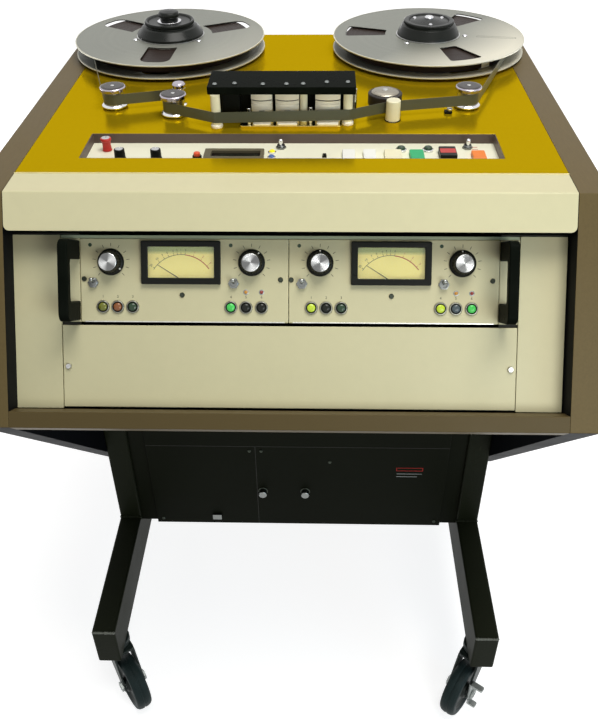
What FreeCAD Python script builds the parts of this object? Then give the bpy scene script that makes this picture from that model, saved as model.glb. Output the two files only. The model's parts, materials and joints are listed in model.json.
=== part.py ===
import FreeCAD, Part
import math
import os
from FreeCAD import Vector

# Studio reel-to-reel tape recorder in a wheeled console stand.
# Lengths are millimetres and angles are degrees.
# The deck frame used below has x to the right, y back from the deck's front edge and z up from
# the deck's top. The front frame lies on the sloped front: x to the right, y up the slope from
# the deck's front edge and z outward. Both are moved to the part's frame when a node is saved.

# Driving dimensions of the console
DECK_HEIGHT = 845.0
OVERALL_WIDTH = 648.0
BOARD_THICK = 32.0
BOARD_HEIGHT = 620.0
BODY_DEPTH = 522.0
FRONT_LEAN = 32.03
FRONT_SLOPE = 244.2
UNDERSIDE_ANGLE = 47.8
DECK_THICK = 3.0
NOSE_DEPTH = 43.0
NOSE_FACE = 39.5
SHEET = 2.5

# Driving dimensions of the rack panels
RACK_WIDTH = 482.6
RACK_HEIGHT = 88.1
RACK_THICK = 3.2
RACK_RECESS = 27.4
RACK_TOP = 46.0
RACK_GAP = 3.5
TOP_LIP = 3.6
MODULE_WIDTH = 221.0
OPENING_HALF = 242.0

# Driving dimensions of the reels and of the tape
REEL_DIAMETER = 266.7
REEL_SPACING = 364.8
REEL_BACK = 447.5
REEL_LIFT = 4.1
FLANGE_THICK = 1.6
FLANGE_GAP = 14.6
REEL_BORE = 76.2
CORE_DIAMETER = 114.3
TAPE_WIDTH = 12.7
TAPE_THICK = 0.3
SUPPLY_PACK = 112.0
TAKEUP_PACK = 115.0

# Clearances
RUNNING = 0.05
SLIDING = 0.3
APART = 0.35

# Control pan in the deck
PAN_HALF = 232.0
PAN_FRONT = 81.0
PAN_BACK = 148.0
PAN_DEPTH = 11.5
PAN_SHEET = 2.0

# Stand and casters
LEG_OUTER = 292.0
LEG_WIDTH = 34.0
BEAM_TOP = -658.0
BEAM_BOTTOM = -730.0
BEAM_FRONT = -73.0
BEAM_BACK = 520.0
UPRIGHT_FRONT = 146.0
UPRIGHT_DEPTH = 51.0
UPRIGHT_BACK = 440.0
UPRIGHT_TOP = -236.0
TUBE_WALL = 3.0
WHEEL_RADIUS = 44.5
CASTER_TRAIL = 38.0
CASTER_X = 275.0
CASTER_FRONT = -30.0
CASTER_BACK = 478.0

# Values worked out from them
INNER_HALF = OVERALL_WIDTH / 2 - BOARD_THICK
LEAN = math.radians(FRONT_LEAN)
PROW = (-FRONT_SLOPE * math.sin(LEAN), -FRONT_SLOPE * math.cos(LEAN))
UNDERSIDE_RUN = (BOARD_HEIGHT + PROW[1]) / math.tan(math.radians(UNDERSIDE_ANGLE))
REEL_X = REEL_SPACING / 2
REEL_RADIUS = REEL_DIAMETER / 2
REEL_TOP = REEL_LIFT + 2 * FLANGE_THICK + FLANGE_GAP
TAPE_LOW = REEL_LIFT + FLANGE_THICK + (FLANGE_GAP - TAPE_WIDTH) / 2
FRONT_EDGE = -(REEL_BACK + REEL_RADIUS + PROW[0]) / 2
FACE = -RACK_RECESS
PANEL_BACK = FACE - RACK_THICK
FLOOR = -DECK_HEIGHT
AXLE = FLOOR + WHEEL_RADIUS
PAN_FLOOR = -PAN_DEPTH
TRAY_TOP = -221.0

# Places on the deck, as x and y
ROLLERS = {
    "supply_roller": (-221.5, 230.5),
    "timer_roller": (-144.0, 205.0),
    "takeup_roller": (210.5, 231.0),
}
ROLLER_RADIUS = 12.5
RETURN_GUIDE = (-141.0, 234.0)
GUIDE_RADIUS = 5.5
LEFT_POST = (-89.0, 168.0)
RIGHT_POST = (64.0, 177.0)
POST_RADIUS = 5.5
CAPSTAN = (117.4, 189.0)
CAPSTAN_RADIUS = 8.5
PINCH = (110.0, 228.0)
PINCH_RADIUS = 20.5
PINCH_PIVOT = (150.6, 211.1)
PINCH_SWING = 14.4
LIFTERS = ((-51.0, 169.5), (20.5, 173.0))
LIFTER_TRAVEL = 5.0
COVER_UNDER = 38.0

X_AXIS = Vector(1, 0, 0)
Y_AXIS = Vector(0, 1, 0)
Z_AXIS = Vector(0, 0, 1)
ORIGIN = Vector(0, 0, 0)


def block(x0, x1, y0, y1, z0, z1):
    return Part.makeBox(x1 - x0, y1 - y0, z1 - z0, Vector(x0, y0, z0))


def rod(radius, z0, z1, x=0.0, y=0.0):
    return Part.makeCylinder(radius, z1 - z0, Vector(x, y, z0))


def rod_x(radius, x0, x1, y, z):
    return Part.makeCylinder(radius, x1 - x0, Vector(x0, y, z), X_AXIS)


def ring(outer, inner, z0, z1, x=0.0, y=0.0):
    return rod(outer, z0, z1, x, y).cut(rod(inner, z0 - 1, z1 + 1, x, y))


def turned(profile, x=0.0, y=0.0):
    """A turned piece from its half section, as radius and height, about an upright axis."""
    points = [Vector(radius, 0, z) for radius, z in profile]
    face = Part.Face(Part.makePolygon(points + points[:1]))
    solid = face.revolve(ORIGIN, Z_AXIS, 360)
    solid.translate(Vector(x, y, 0))
    return solid


def side_profile(points, x0, x1):
    """A plate with its outline in y and z, running from x0 to x1."""
    corners = [Vector(x0, y, z) for y, z in points]
    return Part.Face(Part.makePolygon(corners + corners[:1])).extrude(Vector(x1 - x0, 0, 0))


def plan_profile(points, z0, z1):
    """A plate with its outline in x and y, running from z0 to z1."""
    corners = [Vector(x, y, z0) for x, y in points]
    return Part.Face(Part.makePolygon(corners + corners[:1])).extrude(Vector(0, 0, z1 - z0))


def joined(first, *others):
    return first.fuse(list(others)).removeSplitter()


def edges_along(shape, axis, wanted=lambda middle: True):
    """The straight edges parallel to an axis whose middle point is wanted."""
    found = []
    for edge in shape.Edges:
        if len(edge.Vertexes) != 2:
            continue
        way = edge.Vertexes[1].Point - edge.Vertexes[0].Point
        if way.Length > 0 and abs(abs(way.dot(axis)) - way.Length) < 1e-6:
            if wanted(edge.CenterOfMass):
                found.append(edge)
    return found


def mirrored(shape):
    return shape.mirror(ORIGIN, X_AXIS)


def save(node, solids, on_front=False):
    """Write a node, moved from the deck frame or the front frame to the part's frame."""
    part = Part.makeCompound(solids)
    if on_front:
        part.rotate(ORIGIN, X_AXIS, 90 - FRONT_LEAN)
    part.translate(Vector(0, FRONT_EDGE, DECK_HEIGHT))
    part.exportStep(os.path.join("parts", node + ".step"))


# Cabinet

def side_board():
    """The right side board: flat top, front leaning forward, underside running back and down."""
    turn = PROW[0] + UNDERSIDE_RUN
    outline = [(0, 0), PROW, (turn, -BOARD_HEIGHT), (BODY_DEPTH, -BOARD_HEIGHT), (BODY_DEPTH, 0)]
    board = side_profile(outline, INNER_HALF, OVERALL_WIDTH / 2)
    return board.makeFillet(1.5, edges_along(board, X_AXIS))


def bottom_rail():
    """The bar across the foot of the front, its underside in line with the boards'."""
    top = 227.0
    depth = 22.0
    low = FRONT_SLOPE + depth * math.tan(math.radians(UNDERSIDE_ANGLE - FRONT_LEAN))
    outline = [(-top, 0), (-FRONT_SLOPE, 0), (-low, -depth), (-top, -depth)]
    rail = side_profile(outline, -INNER_HALF, INNER_HALF)
    rail.rotate(ORIGIN, X_AXIS, 90 - FRONT_LEAN)
    return rail


def rack_rail():
    """The plate on the right board's inner face that carries the panel ears and a filler strip."""
    rail = block(222, INNER_HALF, -227, -40, PANEL_BACK - 3, PANEL_BACK)
    rail.rotate(ORIGIN, X_AXIS, 90 - FRONT_LEAN)
    return rail


def cabinet_rails():
    tray = block(-INNER_HALF, INNER_HALF, -112, 516, TRAY_TOP - SHEET, TRAY_TOP)
    stretcher = block(-INNER_HALF, INNER_HALF, 492, 516, -618, -578)
    right = rack_rail()
    return [joined(bottom_rail(), tray), right, mirrored(right), stretcher]


def nose_panel():
    """The bent beige sheet along the deck's front edge."""
    half = INNER_HALF - 0.5
    top = block(-half, half, 0, NOSE_DEPTH, -SHEET, 0)
    face = block(-half, half, -NOSE_FACE, 0, -SHEET, 0)
    lower = edges_along(face, Z_AXIS, lambda p: p.y < -NOSE_FACE / 2)
    face = face.makeFillet(6, lower)
    face.rotate(ORIGIN, X_AXIS, 90 - FRONT_LEAN)
    nose = joined(top, face)
    bend = edges_along(nose, X_AXIS, lambda p: p.Length < 0.5)
    return nose.makeFillet(2.2, bend)


def filler_strips():
    left = block(-INNER_HALF, -OPENING_HALF, -227, -42.5, PANEL_BACK, FACE)
    right = block(OPENING_HALF, INNER_HALF - 1.5, -227, -42.5, PANEL_BACK, FACE)
    return [left, right]


def rear_panel():
    """The plain back of the transport housing, with two rows of upright vent slots."""
    panel = block(-INNER_HALF, INNER_HALF, 516, 519, TRAY_TOP - SHEET, -DECK_THICK)
    slots = []
    for row in (-78.0, -158.0):
        for step in range(11):
            x = (step - 5) * 44.0
            slots.append(block(x - 3, x + 3, 515, 520, row - 24, row + 24))
    return panel.cut(slots)


# Deck

def pinch_slot(radius, z0, z1):
    """The way that the pinch roller's spindle takes through the deck."""
    reach = Vector(PINCH[0] - PINCH_PIVOT[0], PINCH[1] - PINCH_PIVOT[1], 0)
    arm = math.hypot(reach.x, reach.y)
    start = math.degrees(math.atan2(reach.y, reach.x))
    shapes = []
    for step in range(4):
        angle = math.radians(start + PINCH_SWING * step / 3)
        x = PINCH_PIVOT[0] + arm * math.cos(angle)
        y = PINCH_PIVOT[1] + arm * math.sin(angle)
        shapes.append(rod(radius, z0, z1, x, y))
    ends = (shapes[0].CenterOfMass, shapes[-1].CenterOfMass)
    across = (ends[1] - ends[0]).cross(Z_AXIS).normalize() * radius
    corners = [ends[0] + across, ends[1] + across, ends[1] - across, ends[0] - across]
    return joined(plan_profile([(p.x, p.y) for p in corners], z0, z1), *shapes)


def lifter_slots(z0, z1):
    gap = 2.4
    return [block(x - gap, x + gap, y - gap, y + LIFTER_TRAVEL + gap, z0, z1) for x, y in LIFTERS]


def deck_plate():
    """The yellow plate with its openings, and the pivot pin of the pinch arm under it."""
    plate = block(-INNER_HALF, INNER_HALF, NOSE_DEPTH, BODY_DEPTH, -DECK_THICK, 0)
    under = -DECK_THICK - 1
    holes = [block(-PAN_HALF, PAN_HALF, PAN_FRONT, PAN_BACK, under, 1)]
    holes.append(rod(9, under, 1, -REEL_X, REEL_BACK))
    holes.append(rod(9, under, 1, REEL_X, REEL_BACK))
    holes.append(rod(CAPSTAN_RADIUS + 1, under, 1, *CAPSTAN))
    holes.append(pinch_slot(4.8, under, 1))
    holes.extend(lifter_slots(under, 1))
    plate = plate.cut(holes)
    pin = joined(rod(4, -16, -DECK_THICK, *PINCH_PIVOT), rod(7, -18, -16, *PINCH_PIVOT))
    return joined(plate, pin)


# Control pan

TOGGLE_LINE = 134.0
STRIP_TOGGLES = (-12.8, 199.6)
PAN_KNOBS = {"power_knob": (-211.5, 127.0), "speed_knob": (-191.5, 101.5), "size_knob": (-151.0, 101.5)}
RESET_BUTTON = (-106.0, 107.0)
SLIDE_SWITCH = (36.9, 113.0)
# x, y, radius and rise of each lamp on the pan
PAN_LAMPS = (
    (-22.3, 120.8, 3.4, 3.5), (-22.3, 107.0, 3.4, 3.5), (123.7, 126.6, 5.0, 5.5), (154.1, 126.6, 5.0, 5.5),
)
# name: left, right, front, back and top of the push button
PUSH_BUTTONS = {
    "cream_button": (104.0, 123.4, 97.0, 121.7, -7.0),
    "play_button": (132.5, 148.0, 97.0, 121.6, -7.0),
    "record_button": (165.3, 184.3, 101.0, 125.6, -5.0),
    "stop_button": (201.5, 216.3, 95.0, 119.3, -7.0),
}
WIND_BUTTONS = ((56.8, 71.2, 97.0, 122.1, -7.0), (80.4, 94.5, 97.0, 122.1, -7.0))
BUTTON_FOOT = -20.0
BUTTON_TRAVEL = 2.5


def toggle_bushing(x, y, z):
    """A threaded collar with a nut, slotted for the lever and drilled for its cross pin."""
    nut = Part.makePolygon([Vector(6 * math.cos(a * math.pi / 3), 6 * math.sin(a * math.pi / 3), 0)
                            for a in range(7)])
    collar = joined(Part.Face(nut).extrude(Vector(0, 0, 2)), rod(4.6, -10, 4.2))
    collar = collar.cut([block(-2, 2, -3.7, 3.7, -9, 5), rod_x(1 + RUNNING, -5, 5, 0, -4)])
    collar.translate(Vector(x, y, z))
    return collar


def toggle_lever(x, y, z, tilt):
    """A bat-handled lever on a cross pin that runs in the bushing."""
    bat = [(0, -7), (1.4, -7), (1.4, 4.5), (2.4, 10.8), (2.0, 12.2), (0, 12.7)]
    lever = joined(turned(bat), rod_x(1, -4.4, 4.4, 0, -4))
    lever.rotate(Vector(0, 0, -4), X_AXIS, tilt)
    lever.translate(Vector(x, y, z))
    return lever


def bushing_hole(x, y, z0, z1):
    return rod(4.6, z0, z1, x, y)


def button_hole(left, right, front, back):
    return block(left - SLIDING, right + SLIDING, front - SLIDING, back + SLIDING,
                 PAN_FLOOR - 3, PAN_FLOOR + 1)


def push_button(left, right, front, back, top):
    """A rectangular cap with its top edges broken, long enough to slide through the pan."""
    cap = block(left, right, front, back, BUTTON_FOOT, top)
    cap = cap.makeFillet(1.5, edges_along(cap, Z_AXIS))
    rim = [edge for edge in cap.Edges if abs(edge.CenterOfMass.z - top) < 1e-6]
    return cap.makeChamfer(0.8, rim)


def counter_display():
    """The raised counter: a black bezel round a sunk window pane."""
    left, right, front, back = -98.0, -31.0, 95.0, 121.0
    body = block(left, right, front, back, PAN_FLOOR, -6)
    sunk = block(left + 8, right - 4, front + 5, back - 6, -8, -5)
    return body.cut(sunk)


def control_well():
    """The sunk pan with its knob shafts, bushings, display and lamps."""
    wall = 1.5
    low = PAN_FLOOR - PAN_SHEET
    outer = block(-PAN_HALF - wall, PAN_HALF + wall, PAN_FRONT - wall, PAN_BACK + wall,
                  low, -DECK_THICK)
    holes = [block(-PAN_HALF, PAN_HALF, PAN_FRONT, PAN_BACK, PAN_FLOOR, 0)]
    for sizes in list(PUSH_BUTTONS.values()) + list(WIND_BUTTONS):
        holes.append(button_hole(*sizes[:4]))
    for x in STRIP_TOGGLES:
        holes.append(bushing_hole(x, TOGGLE_LINE, low - 1, PAN_FLOOR + 1))
    x, y = SLIDE_SWITCH
    holes.append(block(x - 2.5, x + 2.5, y - 5, y + 5, low - 1, PAN_FLOOR + 1))
    holes.append(rod(3.6 + SLIDING, low - 1, PAN_FLOOR + 1, *RESET_BUTTON))
    pan = outer.cut(holes)
    shafts = [rod(2, low, -3, x, y) for x, y in PAN_KNOBS.values()]
    fittings = [toggle_bushing(x, TOGGLE_LINE, PAN_FLOOR) for x in STRIP_TOGGLES]
    fittings.append(counter_display())
    fittings.append(ring(5.2, 3.6 + SLIDING, PAN_FLOOR, -8.5, *RESET_BUTTON))
    for x, y, radius, rise in PAN_LAMPS:
        low, high = PAN_FLOOR, PAN_FLOOR + rise
        dome = [(0, low), (radius, low), (radius, low + rise / 2), (radius * 0.7, high - 0.6), (0, high)]
        fittings.append(turned(dome, x, y))
    return [joined(pan, *shafts)] + fittings


def pan_knob(x, y, outer):
    """A small knob on the pan, bored for its shaft."""
    bore = 2 + RUNNING
    return turned([(bore, PAN_FLOOR + 0.4)] + outer + [(0, outer[-1][1]), (0, -2.6), (bore, -2.6)], x, y)


def slide_switch():
    x, y = SLIDE_SWITCH
    knob = block(x - 1.9, x + 1.9, y - 4.5, y - 0.5, -12, -8.2)
    foot = block(x - 4, x + 4, y - 6, y + 1, -16, -13.9)
    neck = block(x - 1.9, x + 1.9, y - 4.5, y - 0.5, -14, -12)
    return joined(foot, neck, knob)


def reset_button():
    return turned([(0, -15), (3.6, -15), (3.6, -5.2), (2.8, -4.2), (0, -4)], *RESET_BUTTON)


# Reels

def reel_windows(reel):
    """Three windows through both flanges: straight slots on one reel, sectors on the other."""
    low, high = REEL_LIFT - 1, REEL_TOP + 1
    if reel == "supply":
        window = block(52, 118, -20, 20, low, high)
        window = window.makeFillet(14, edges_along(window, Z_AXIS, lambda p: p.x > 100))
        window = window.cut(rod(59, low - 1, high + 1))
        first = -93.0
    else:
        inner, outer, half = 60.0, 116.0, math.radians(11.5)
        left = [Vector(r * math.cos(half), r * math.sin(half), low) for r in (inner, outer)]
        right = [Vector(r * math.cos(half), -r * math.sin(half), low) for r in (inner, outer)]
        edges = [
            Part.Arc(right[0], Vector(inner, 0, low), left[0]).toShape(),
            Part.makeLine(left[0], left[1]),
            Part.Arc(left[1], Vector(outer, 0, low), right[1]).toShape(),
            Part.makeLine(right[1], right[0]),
        ]
        window = Part.Face(Part.Wire(edges)).extrude(Vector(0, 0, high - low))
        window = window.makeFillet(4, edges_along(window, Z_AXIS))
        first = -69.0
    windows = []
    for turn in range(3):
        copy = window.copy()
        copy.rotate(ORIGIN, Z_AXIS, first + 120 * turn)
        windows.append(copy)
    return windows


def reel(kind, x):
    """Two rimmed flanges joined by the core, with three key notches in the bore."""
    bore = REEL_BORE / 2
    rim = REEL_RADIUS
    flanges = []
    for low in (REEL_LIFT, REEL_LIFT + FLANGE_THICK + FLANGE_GAP):
        high = low + FLANGE_THICK
        section = [
            (bore, low), (rim - 0.6, low), (rim, low + 0.5), (rim, high - 0.5), (rim - 0.6, high),
            (bore, high),
        ]
        flanges.append(turned(section))
    low = REEL_LIFT + FLANGE_THICK
    core = ring(CORE_DIAMETER / 2, bore, low, low + FLANGE_GAP)
    whole = joined(flanges[0], core, flanges[1]).cut(reel_windows(kind))
    notches = []
    for turn in range(3):
        notch = block(bore - 3, bore + 4, -2.8, 2.8, REEL_LIFT - 1, REEL_TOP + 1)
        notch.rotate(ORIGIN, Z_AXIS, 30 + 120 * turn)
        notches.append(notch)
    whole = whole.cut(notches)
    whole.translate(Vector(x, REEL_BACK, 0))
    return whole


def tape_pack(radius, x):
    return ring(radius, CORE_DIAMETER / 2, TAPE_LOW, TAPE_LOW + TAPE_WIDTH, x, REEL_BACK)


def turntable(x):
    """The disc under a reel with its spigot, the spindle down to the motor and the lock's stub."""
    spigot = REEL_BORE / 2 - 0.1
    section = [
        (0, -40), (6, -40), (6, 0.8), (49, 0.8), (50, 1.6), (50, 3.3), (49.2, REEL_LIFT),
        (spigot, REEL_LIFT), (spigot, REEL_TOP), (4, REEL_TOP), (4, 30), (0, 30),
    ]
    return turned(section, x, REEL_BACK)


def supply_hub_lock():
    """A stepped clamp with a tall centre knob."""
    bore = 4 + RUNNING
    base = REEL_TOP + 0.3
    section = [
        (bore, base), (46, base), (46.5, 23), (46.5, 26), (45, 27.6), (38.5, 35), (36, 36.4),
        (33.4, 36.8),
        (33.4, 38.2), (34.6, 38.8), (34.6, 42), (33.4, 43), (31.6, 42.4), (29, 40.6), (16, 40.2),
        (14.8, 42.2), (11.4, 43.2), (11.4, 46.4), (14.2, 47.4), (14.6, 51.5), (12.6, 54.4), (4, 55.2),
        (0, 55.2), (0, 31), (bore, 31),
    ]
    return turned(section, -REEL_X, REEL_BACK)


def takeup_hub_lock():
    """A plainer clamp with a ringed rim and a low domed centre."""
    bore = 4 + RUNNING
    base = REEL_TOP + 0.3
    section = [
        (bore, base), (43, base), (43.5, 23), (42.6, 26), (37.4, 36), (35.4, 36.8), (34.2, 37.4),
        (35, 38.2), (35, 41), (33.6, 42), (29, 42), (27, 40.4), (20, 41.6), (10, 43.2), (6, 43.6),
        (6, 46), (4.6, 46.8), (0, 46.8), (0, 31), (bore, 31),
    ]
    return turned(section, REEL_X, REEL_BACK)


# Tape path

def tape_roller(x, y):
    """A guide roller with a bright base flange and a thick cap, bored for its stud."""
    bore = 3 + RUNNING
    body = ROLLER_RADIUS
    section = [
        (bore, 1.4), (15.2, 1.4), (15.8, 2), (15.8, 3.6), (13.6, 5.6), (body, 5.9), (body, 20),
        (14.4, 20.6), (15.8, 21.2), (15.8, 25), (14.6, 26.3), (11, 26.8), (0, 26.8), (0, 24.6),
        (bore, 24.6),
    ]
    return turned(section, x, y)


def tape_guides():
    """The fixed posts, the roller studs, the return guide and the tape sensor."""
    pieces = []
    for x, y in ROLLERS.values():
        pieces.append(turned([(0, 0), (8, 0), (8, 1), (3, 1), (3, 24), (0, 24)], x, y))
    for x, y in (LEFT_POST, RIGHT_POST):
        foot = [(0, 0), (7, 0), (7, 2.6), (POST_RADIUS, 4.2)]
        pieces.append(turned(foot + [(POST_RADIUS, COVER_UNDER), (0, COVER_UNDER)], x, y))
    pieces.append(rod(2, 0, COVER_UNDER, 72.2, 187))
    section = [
        (0, 0), (8, 0), (8, 2.2), (GUIDE_RADIUS, 3.4), (GUIDE_RADIUS, 21.5), (8, 22.5), (8, 27), (6.5, 29),
        (0, 29),
    ]
    pieces.append(turned(section, *RETURN_GUIDE))
    sensor = joined(block(181, 190, 207, 215, 0, 3), rod(3.4, 3, 5.8, 187, 211))
    pieces.append(sensor)
    return pieces


def tangent_angle(start, end):
    """The heading of the line that touches two circles, each as x, y, radius and side."""
    dx, dy = end[0] - start[0], end[1] - start[1]
    across = start[3] * start[2] - end[3] * end[2]
    return math.atan2(dy, dx) + math.asin(across / math.hypot(dx, dy))


def touch(circle, heading, offset):
    """The point where a line with this heading touches the circle, moved to its right by offset."""
    x, y, radius, side = circle
    reach = side * radius + offset
    return Vector(x + reach * math.sin(heading), y - reach * math.cos(heading), TAPE_LOW)


def tape_run():
    """The open stretch of tape: a ribbon round each guide in turn, straight in between."""
    gap = APART + TAPE_THICK / 2
    contact = TAPE_THICK / 2
    left, right = 1, -1
    rollers = [ROLLERS[name] for name in ("supply_roller", "timer_roller", "takeup_roller")]
    circles = [
        (-REEL_X, REEL_BACK, SUPPLY_PACK + gap, left),
        (*rollers[0], ROLLER_RADIUS + gap, left),
        (*RETURN_GUIDE, GUIDE_RADIUS + contact, right),
        (*rollers[1], ROLLER_RADIUS + gap, left),
        (*LEFT_POST, POST_RADIUS + contact, left),
        (*RIGHT_POST, POST_RADIUS + contact, left),
        (*CAPSTAN, CAPSTAN_RADIUS + gap, right),
        (*rollers[2], ROLLER_RADIUS + gap, left),
        (REEL_X, REEL_BACK, TAKEUP_PACK + gap, left),
    ]
    headings = [tangent_angle(a, b) for a, b in zip(circles, circles[1:])]
    sides = []
    for offset in (contact, -contact):
        edges = []
        at = touch(circles[0], headings[0], offset)
        for index, heading in enumerate(headings):
            arrive = touch(circles[index + 1], heading, offset)
            edges.append(Part.makeLine(at, arrive))
            if index + 1 < len(headings):
                after = headings[index + 1]
                middle = touch(circles[index + 1], (heading + after) / 2, offset)
                at = touch(circles[index + 1], after, offset)
                edges.append(Part.Arc(arrive, middle, at).toShape())
        sides.append(edges)
    near, far = sides
    starts = [edges[0].Vertexes[0].Point for edges in sides]
    ends = [edges[-1].Vertexes[-1].Point for edges in sides]
    loop = near + far + [Part.makeLine(*starts), Part.makeLine(*ends)]
    wire = Part.Wire(Part.__sortEdges__(loop))
    return Part.Face(wire).extrude(Vector(0, 0, TAPE_WIDTH))


def tape_head(left, right):
    """A head with its face curved forward."""
    back, shoulder, front = 196.0, 178.0, 174.0
    middle = (left + right) / 2
    edges = [
        Part.makeLine(Vector(left, back, 3), Vector(left, shoulder, 3)),
        Part.Arc(Vector(left, shoulder, 3), Vector(middle, front, 3), Vector(right, shoulder, 3)).toShape(),
        Part.makeLine(Vector(right, shoulder, 3), Vector(right, back, 3)),
        Part.makeLine(Vector(right, back, 3), Vector(left, back, 3)),
    ]
    return Part.Face(Part.Wire(edges)).extrude(Vector(0, 0, COVER_UNDER - 4))


def head_block():
    """The gold base plate with three heads and a guide on it, and the dark housing behind them."""
    base = block(-62, 56.5, 163, 196, 0, 3)
    base = base.makeFillet(4, edges_along(base, Z_AXIS, lambda p: p.y < 170))
    base = base.cut(lifter_slots(-1, 4))
    housing = joined(block(-90, 72, 196, 224, 0, COVER_UNDER), block(-83, -62, 180, 196, 0, COVER_UNDER))
    heads = [tape_head(left, right) for left, right in ((-48.4, -24.1), (-20.3, 7.0), (26.0, 55.0))]
    guide = rod(4.4, 3, COVER_UNDER, 12.5, 179)
    return [base, housing, guide] + heads


# where the cover's screws stand
COVER_SCREWS = (
    (-89.6, 177.6), (-66.9, 180), (-34.2, 177.6), (-7.1, 178), (12, 178.6), (39.1, 184.4), (63.3, 184.4),
)


def head_cover():
    cover = block(-98, 72.5, 168, 224, COVER_UNDER, 46.5)
    cover = cover.makeFillet(2, edges_along(cover, Z_AXIS))
    rim = [edge for edge in cover.Edges if abs(edge.CenterOfMass.z - 46.5) < 1e-6]
    cover = cover.makeChamfer(0.8, rim)
    screws = [rod(2.6, 46.5, 47.6, x, y) for x, y in COVER_SCREWS]
    return [cover] + screws


def capstan():
    rim = CAPSTAN_RADIUS
    return turned([(0, -60), (5, -60), (5, 0.6), (rim, 0.6), (rim, 23.6), (7.6, 24.4), (0, 24.4)], *CAPSTAN)


def pinch_arm():
    """The arm under the deck with the roller's spindle standing on its end."""
    reach = Vector(PINCH[0] - PINCH_PIVOT[0], PINCH[1] - PINCH_PIVOT[1], 0)
    bar = block(0, reach.Length, -6, 6, -14, -6)
    bar.rotate(ORIGIN, Z_AXIS, math.degrees(math.atan2(reach.y, reach.x)))
    bar.translate(Vector(*PINCH_PIVOT, 0))
    arm = joined(bar, rod(9, -14, -6, *PINCH_PIVOT), rod(8, -14, -6, *PINCH), rod(4, -14, 18, *PINCH))
    return arm.cut(rod(4 + RUNNING, -15, -5, *PINCH_PIVOT))


def pinch_roller():
    """A rubber roller with a domed chrome cap, bored for its spindle."""
    bore = 4 + RUNNING
    section = [
        (bore, 4.6), (19.5, 4.6), (PINCH_RADIUS, 5.6), (PINCH_RADIUS, 18), (19.5, 19), (16, 19), (15, 20.6),
        (11, 21.6), (4, 22.3), (0, 22.3), (0, 18.6), (bore, 18.6),
    ]
    return turned(section, *PINCH)


def tape_lifters():
    """Two pins that hold the tape off the heads, on one bar under the deck."""
    bar = block(LIFTERS[0][0] - 3, LIFTERS[1][0] + 3, 166, 176, -14, -10)
    return joined(bar, *[rod(2, -14, 22, x, y) for x, y in LIFTERS])


def drive_motors():
    """The two reel motors and the capstan motor, hung from the deck."""
    under = -DECK_THICK
    motors = []
    for x in (-REEL_X, REEL_X):
        section = [
            (6 + RUNNING, under), (66, under), (66, -9), (58, -12), (58, -128), (30, -134), (0, -134),
            (0, -42), (6 + RUNNING, -42),
        ]
        motors.append(turned(section, x, REEL_BACK))
    bore = 5 + RUNNING
    section = [
        (bore, under), (12, under), (12, -30), (42, -30), (42, -132), (0, -132), (0, -62), (bore, -62),
    ]
    motor = turned(section, *CAPSTAN)
    posts = []
    for angle in (-10, -100, 170):
        x = CAPSTAN[0] + 36 * math.cos(math.radians(angle))
        y = CAPSTAN[1] + 36 * math.sin(math.radians(angle))
        posts.append(rod(4, -31, under, x, y))
    motors.append(joined(motor, *posts))
    return motors


# Electronics panel

KNOB_PLACES = (33.0, 182.0)
KNOB_DOWN = 24.6
TOGGLE_PLACES = (14.0, 163.0)
TOGGLE_DOWN = 46.4
BUTTON_PLACES = (24.0, 39.7, 55.6, 160.0, 176.0, 192.5)
BUTTON_DOWN = 71.8
BUTTON_RADIUS = 5.4
BUTTON_HOLE = 5.7
LAMP_PLACES = ((176.0, 55.6), (192.5, 55.6))
METER_LEFT = 65.6
METER_WIDTH = 83.9
METER_DOWN = 2.1
METER_HEIGHT = 45.6
# the needle's pivot below the meter's middle, its length and its rest angle to the left
NEEDLE_PIVOT = 18.2
NEEDLE_LENGTH = 30.0
NEEDLE_REST = 58.0
MODULES = (-MODULE_WIDTH, 0.0)
# how far each knob is turned from straight up, as seen from the front
KNOB_TURNS = {(1, "left"): -125.0, (1, "right"): -38.0, (2, "left"): 0.0, (2, "right"): 4.0}


def on_panel(place, down, module):
    """The point on the panel face this far from a module's left edge and below the panel's top."""
    return module + place, -(RACK_TOP + down)


def module_plate(module):
    """One module's front plate, cut for its meter, shafts, toggles and buttons."""
    top = -RACK_TOP
    plate = block(module + 0.2, module + MODULE_WIDTH - 0.2, top - RACK_HEIGHT, top, PANEL_BACK, FACE)
    lower = edges_along(plate, X_AXIS, lambda p: p.z > FACE - 1)
    plate = plate.makeChamfer(1.2, lower)
    holes = []
    for place in KNOB_PLACES:
        holes.append(rod(5, PANEL_BACK - 1, FACE + 1, *on_panel(place, KNOB_DOWN, module)))
    for place in TOGGLE_PLACES:
        holes.append(bushing_hole(*on_panel(place, TOGGLE_DOWN, module), PANEL_BACK - 1, FACE + 1))
    for place in BUTTON_PLACES:
        holes.append(rod(BUTTON_HOLE, PANEL_BACK - 1, FACE + 1, *on_panel(place, BUTTON_DOWN, module)))
    x, y = on_panel(METER_LEFT + METER_WIDTH / 2, METER_DOWN + METER_HEIGHT / 2, module)
    holes.append(block(x - 38, x + 38, y - 21, y + 21, PANEL_BACK - 1, FACE + 1))
    return plate.cut(holes)


def knob_shaft(x, y):
    """A control's body behind the panel with its shaft through it."""
    section = [(0, -60), (9, -60), (9, PANEL_BACK), (3, PANEL_BACK), (3, FACE + 12), (0, FACE + 12)]
    return turned(section, x, y)


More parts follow.
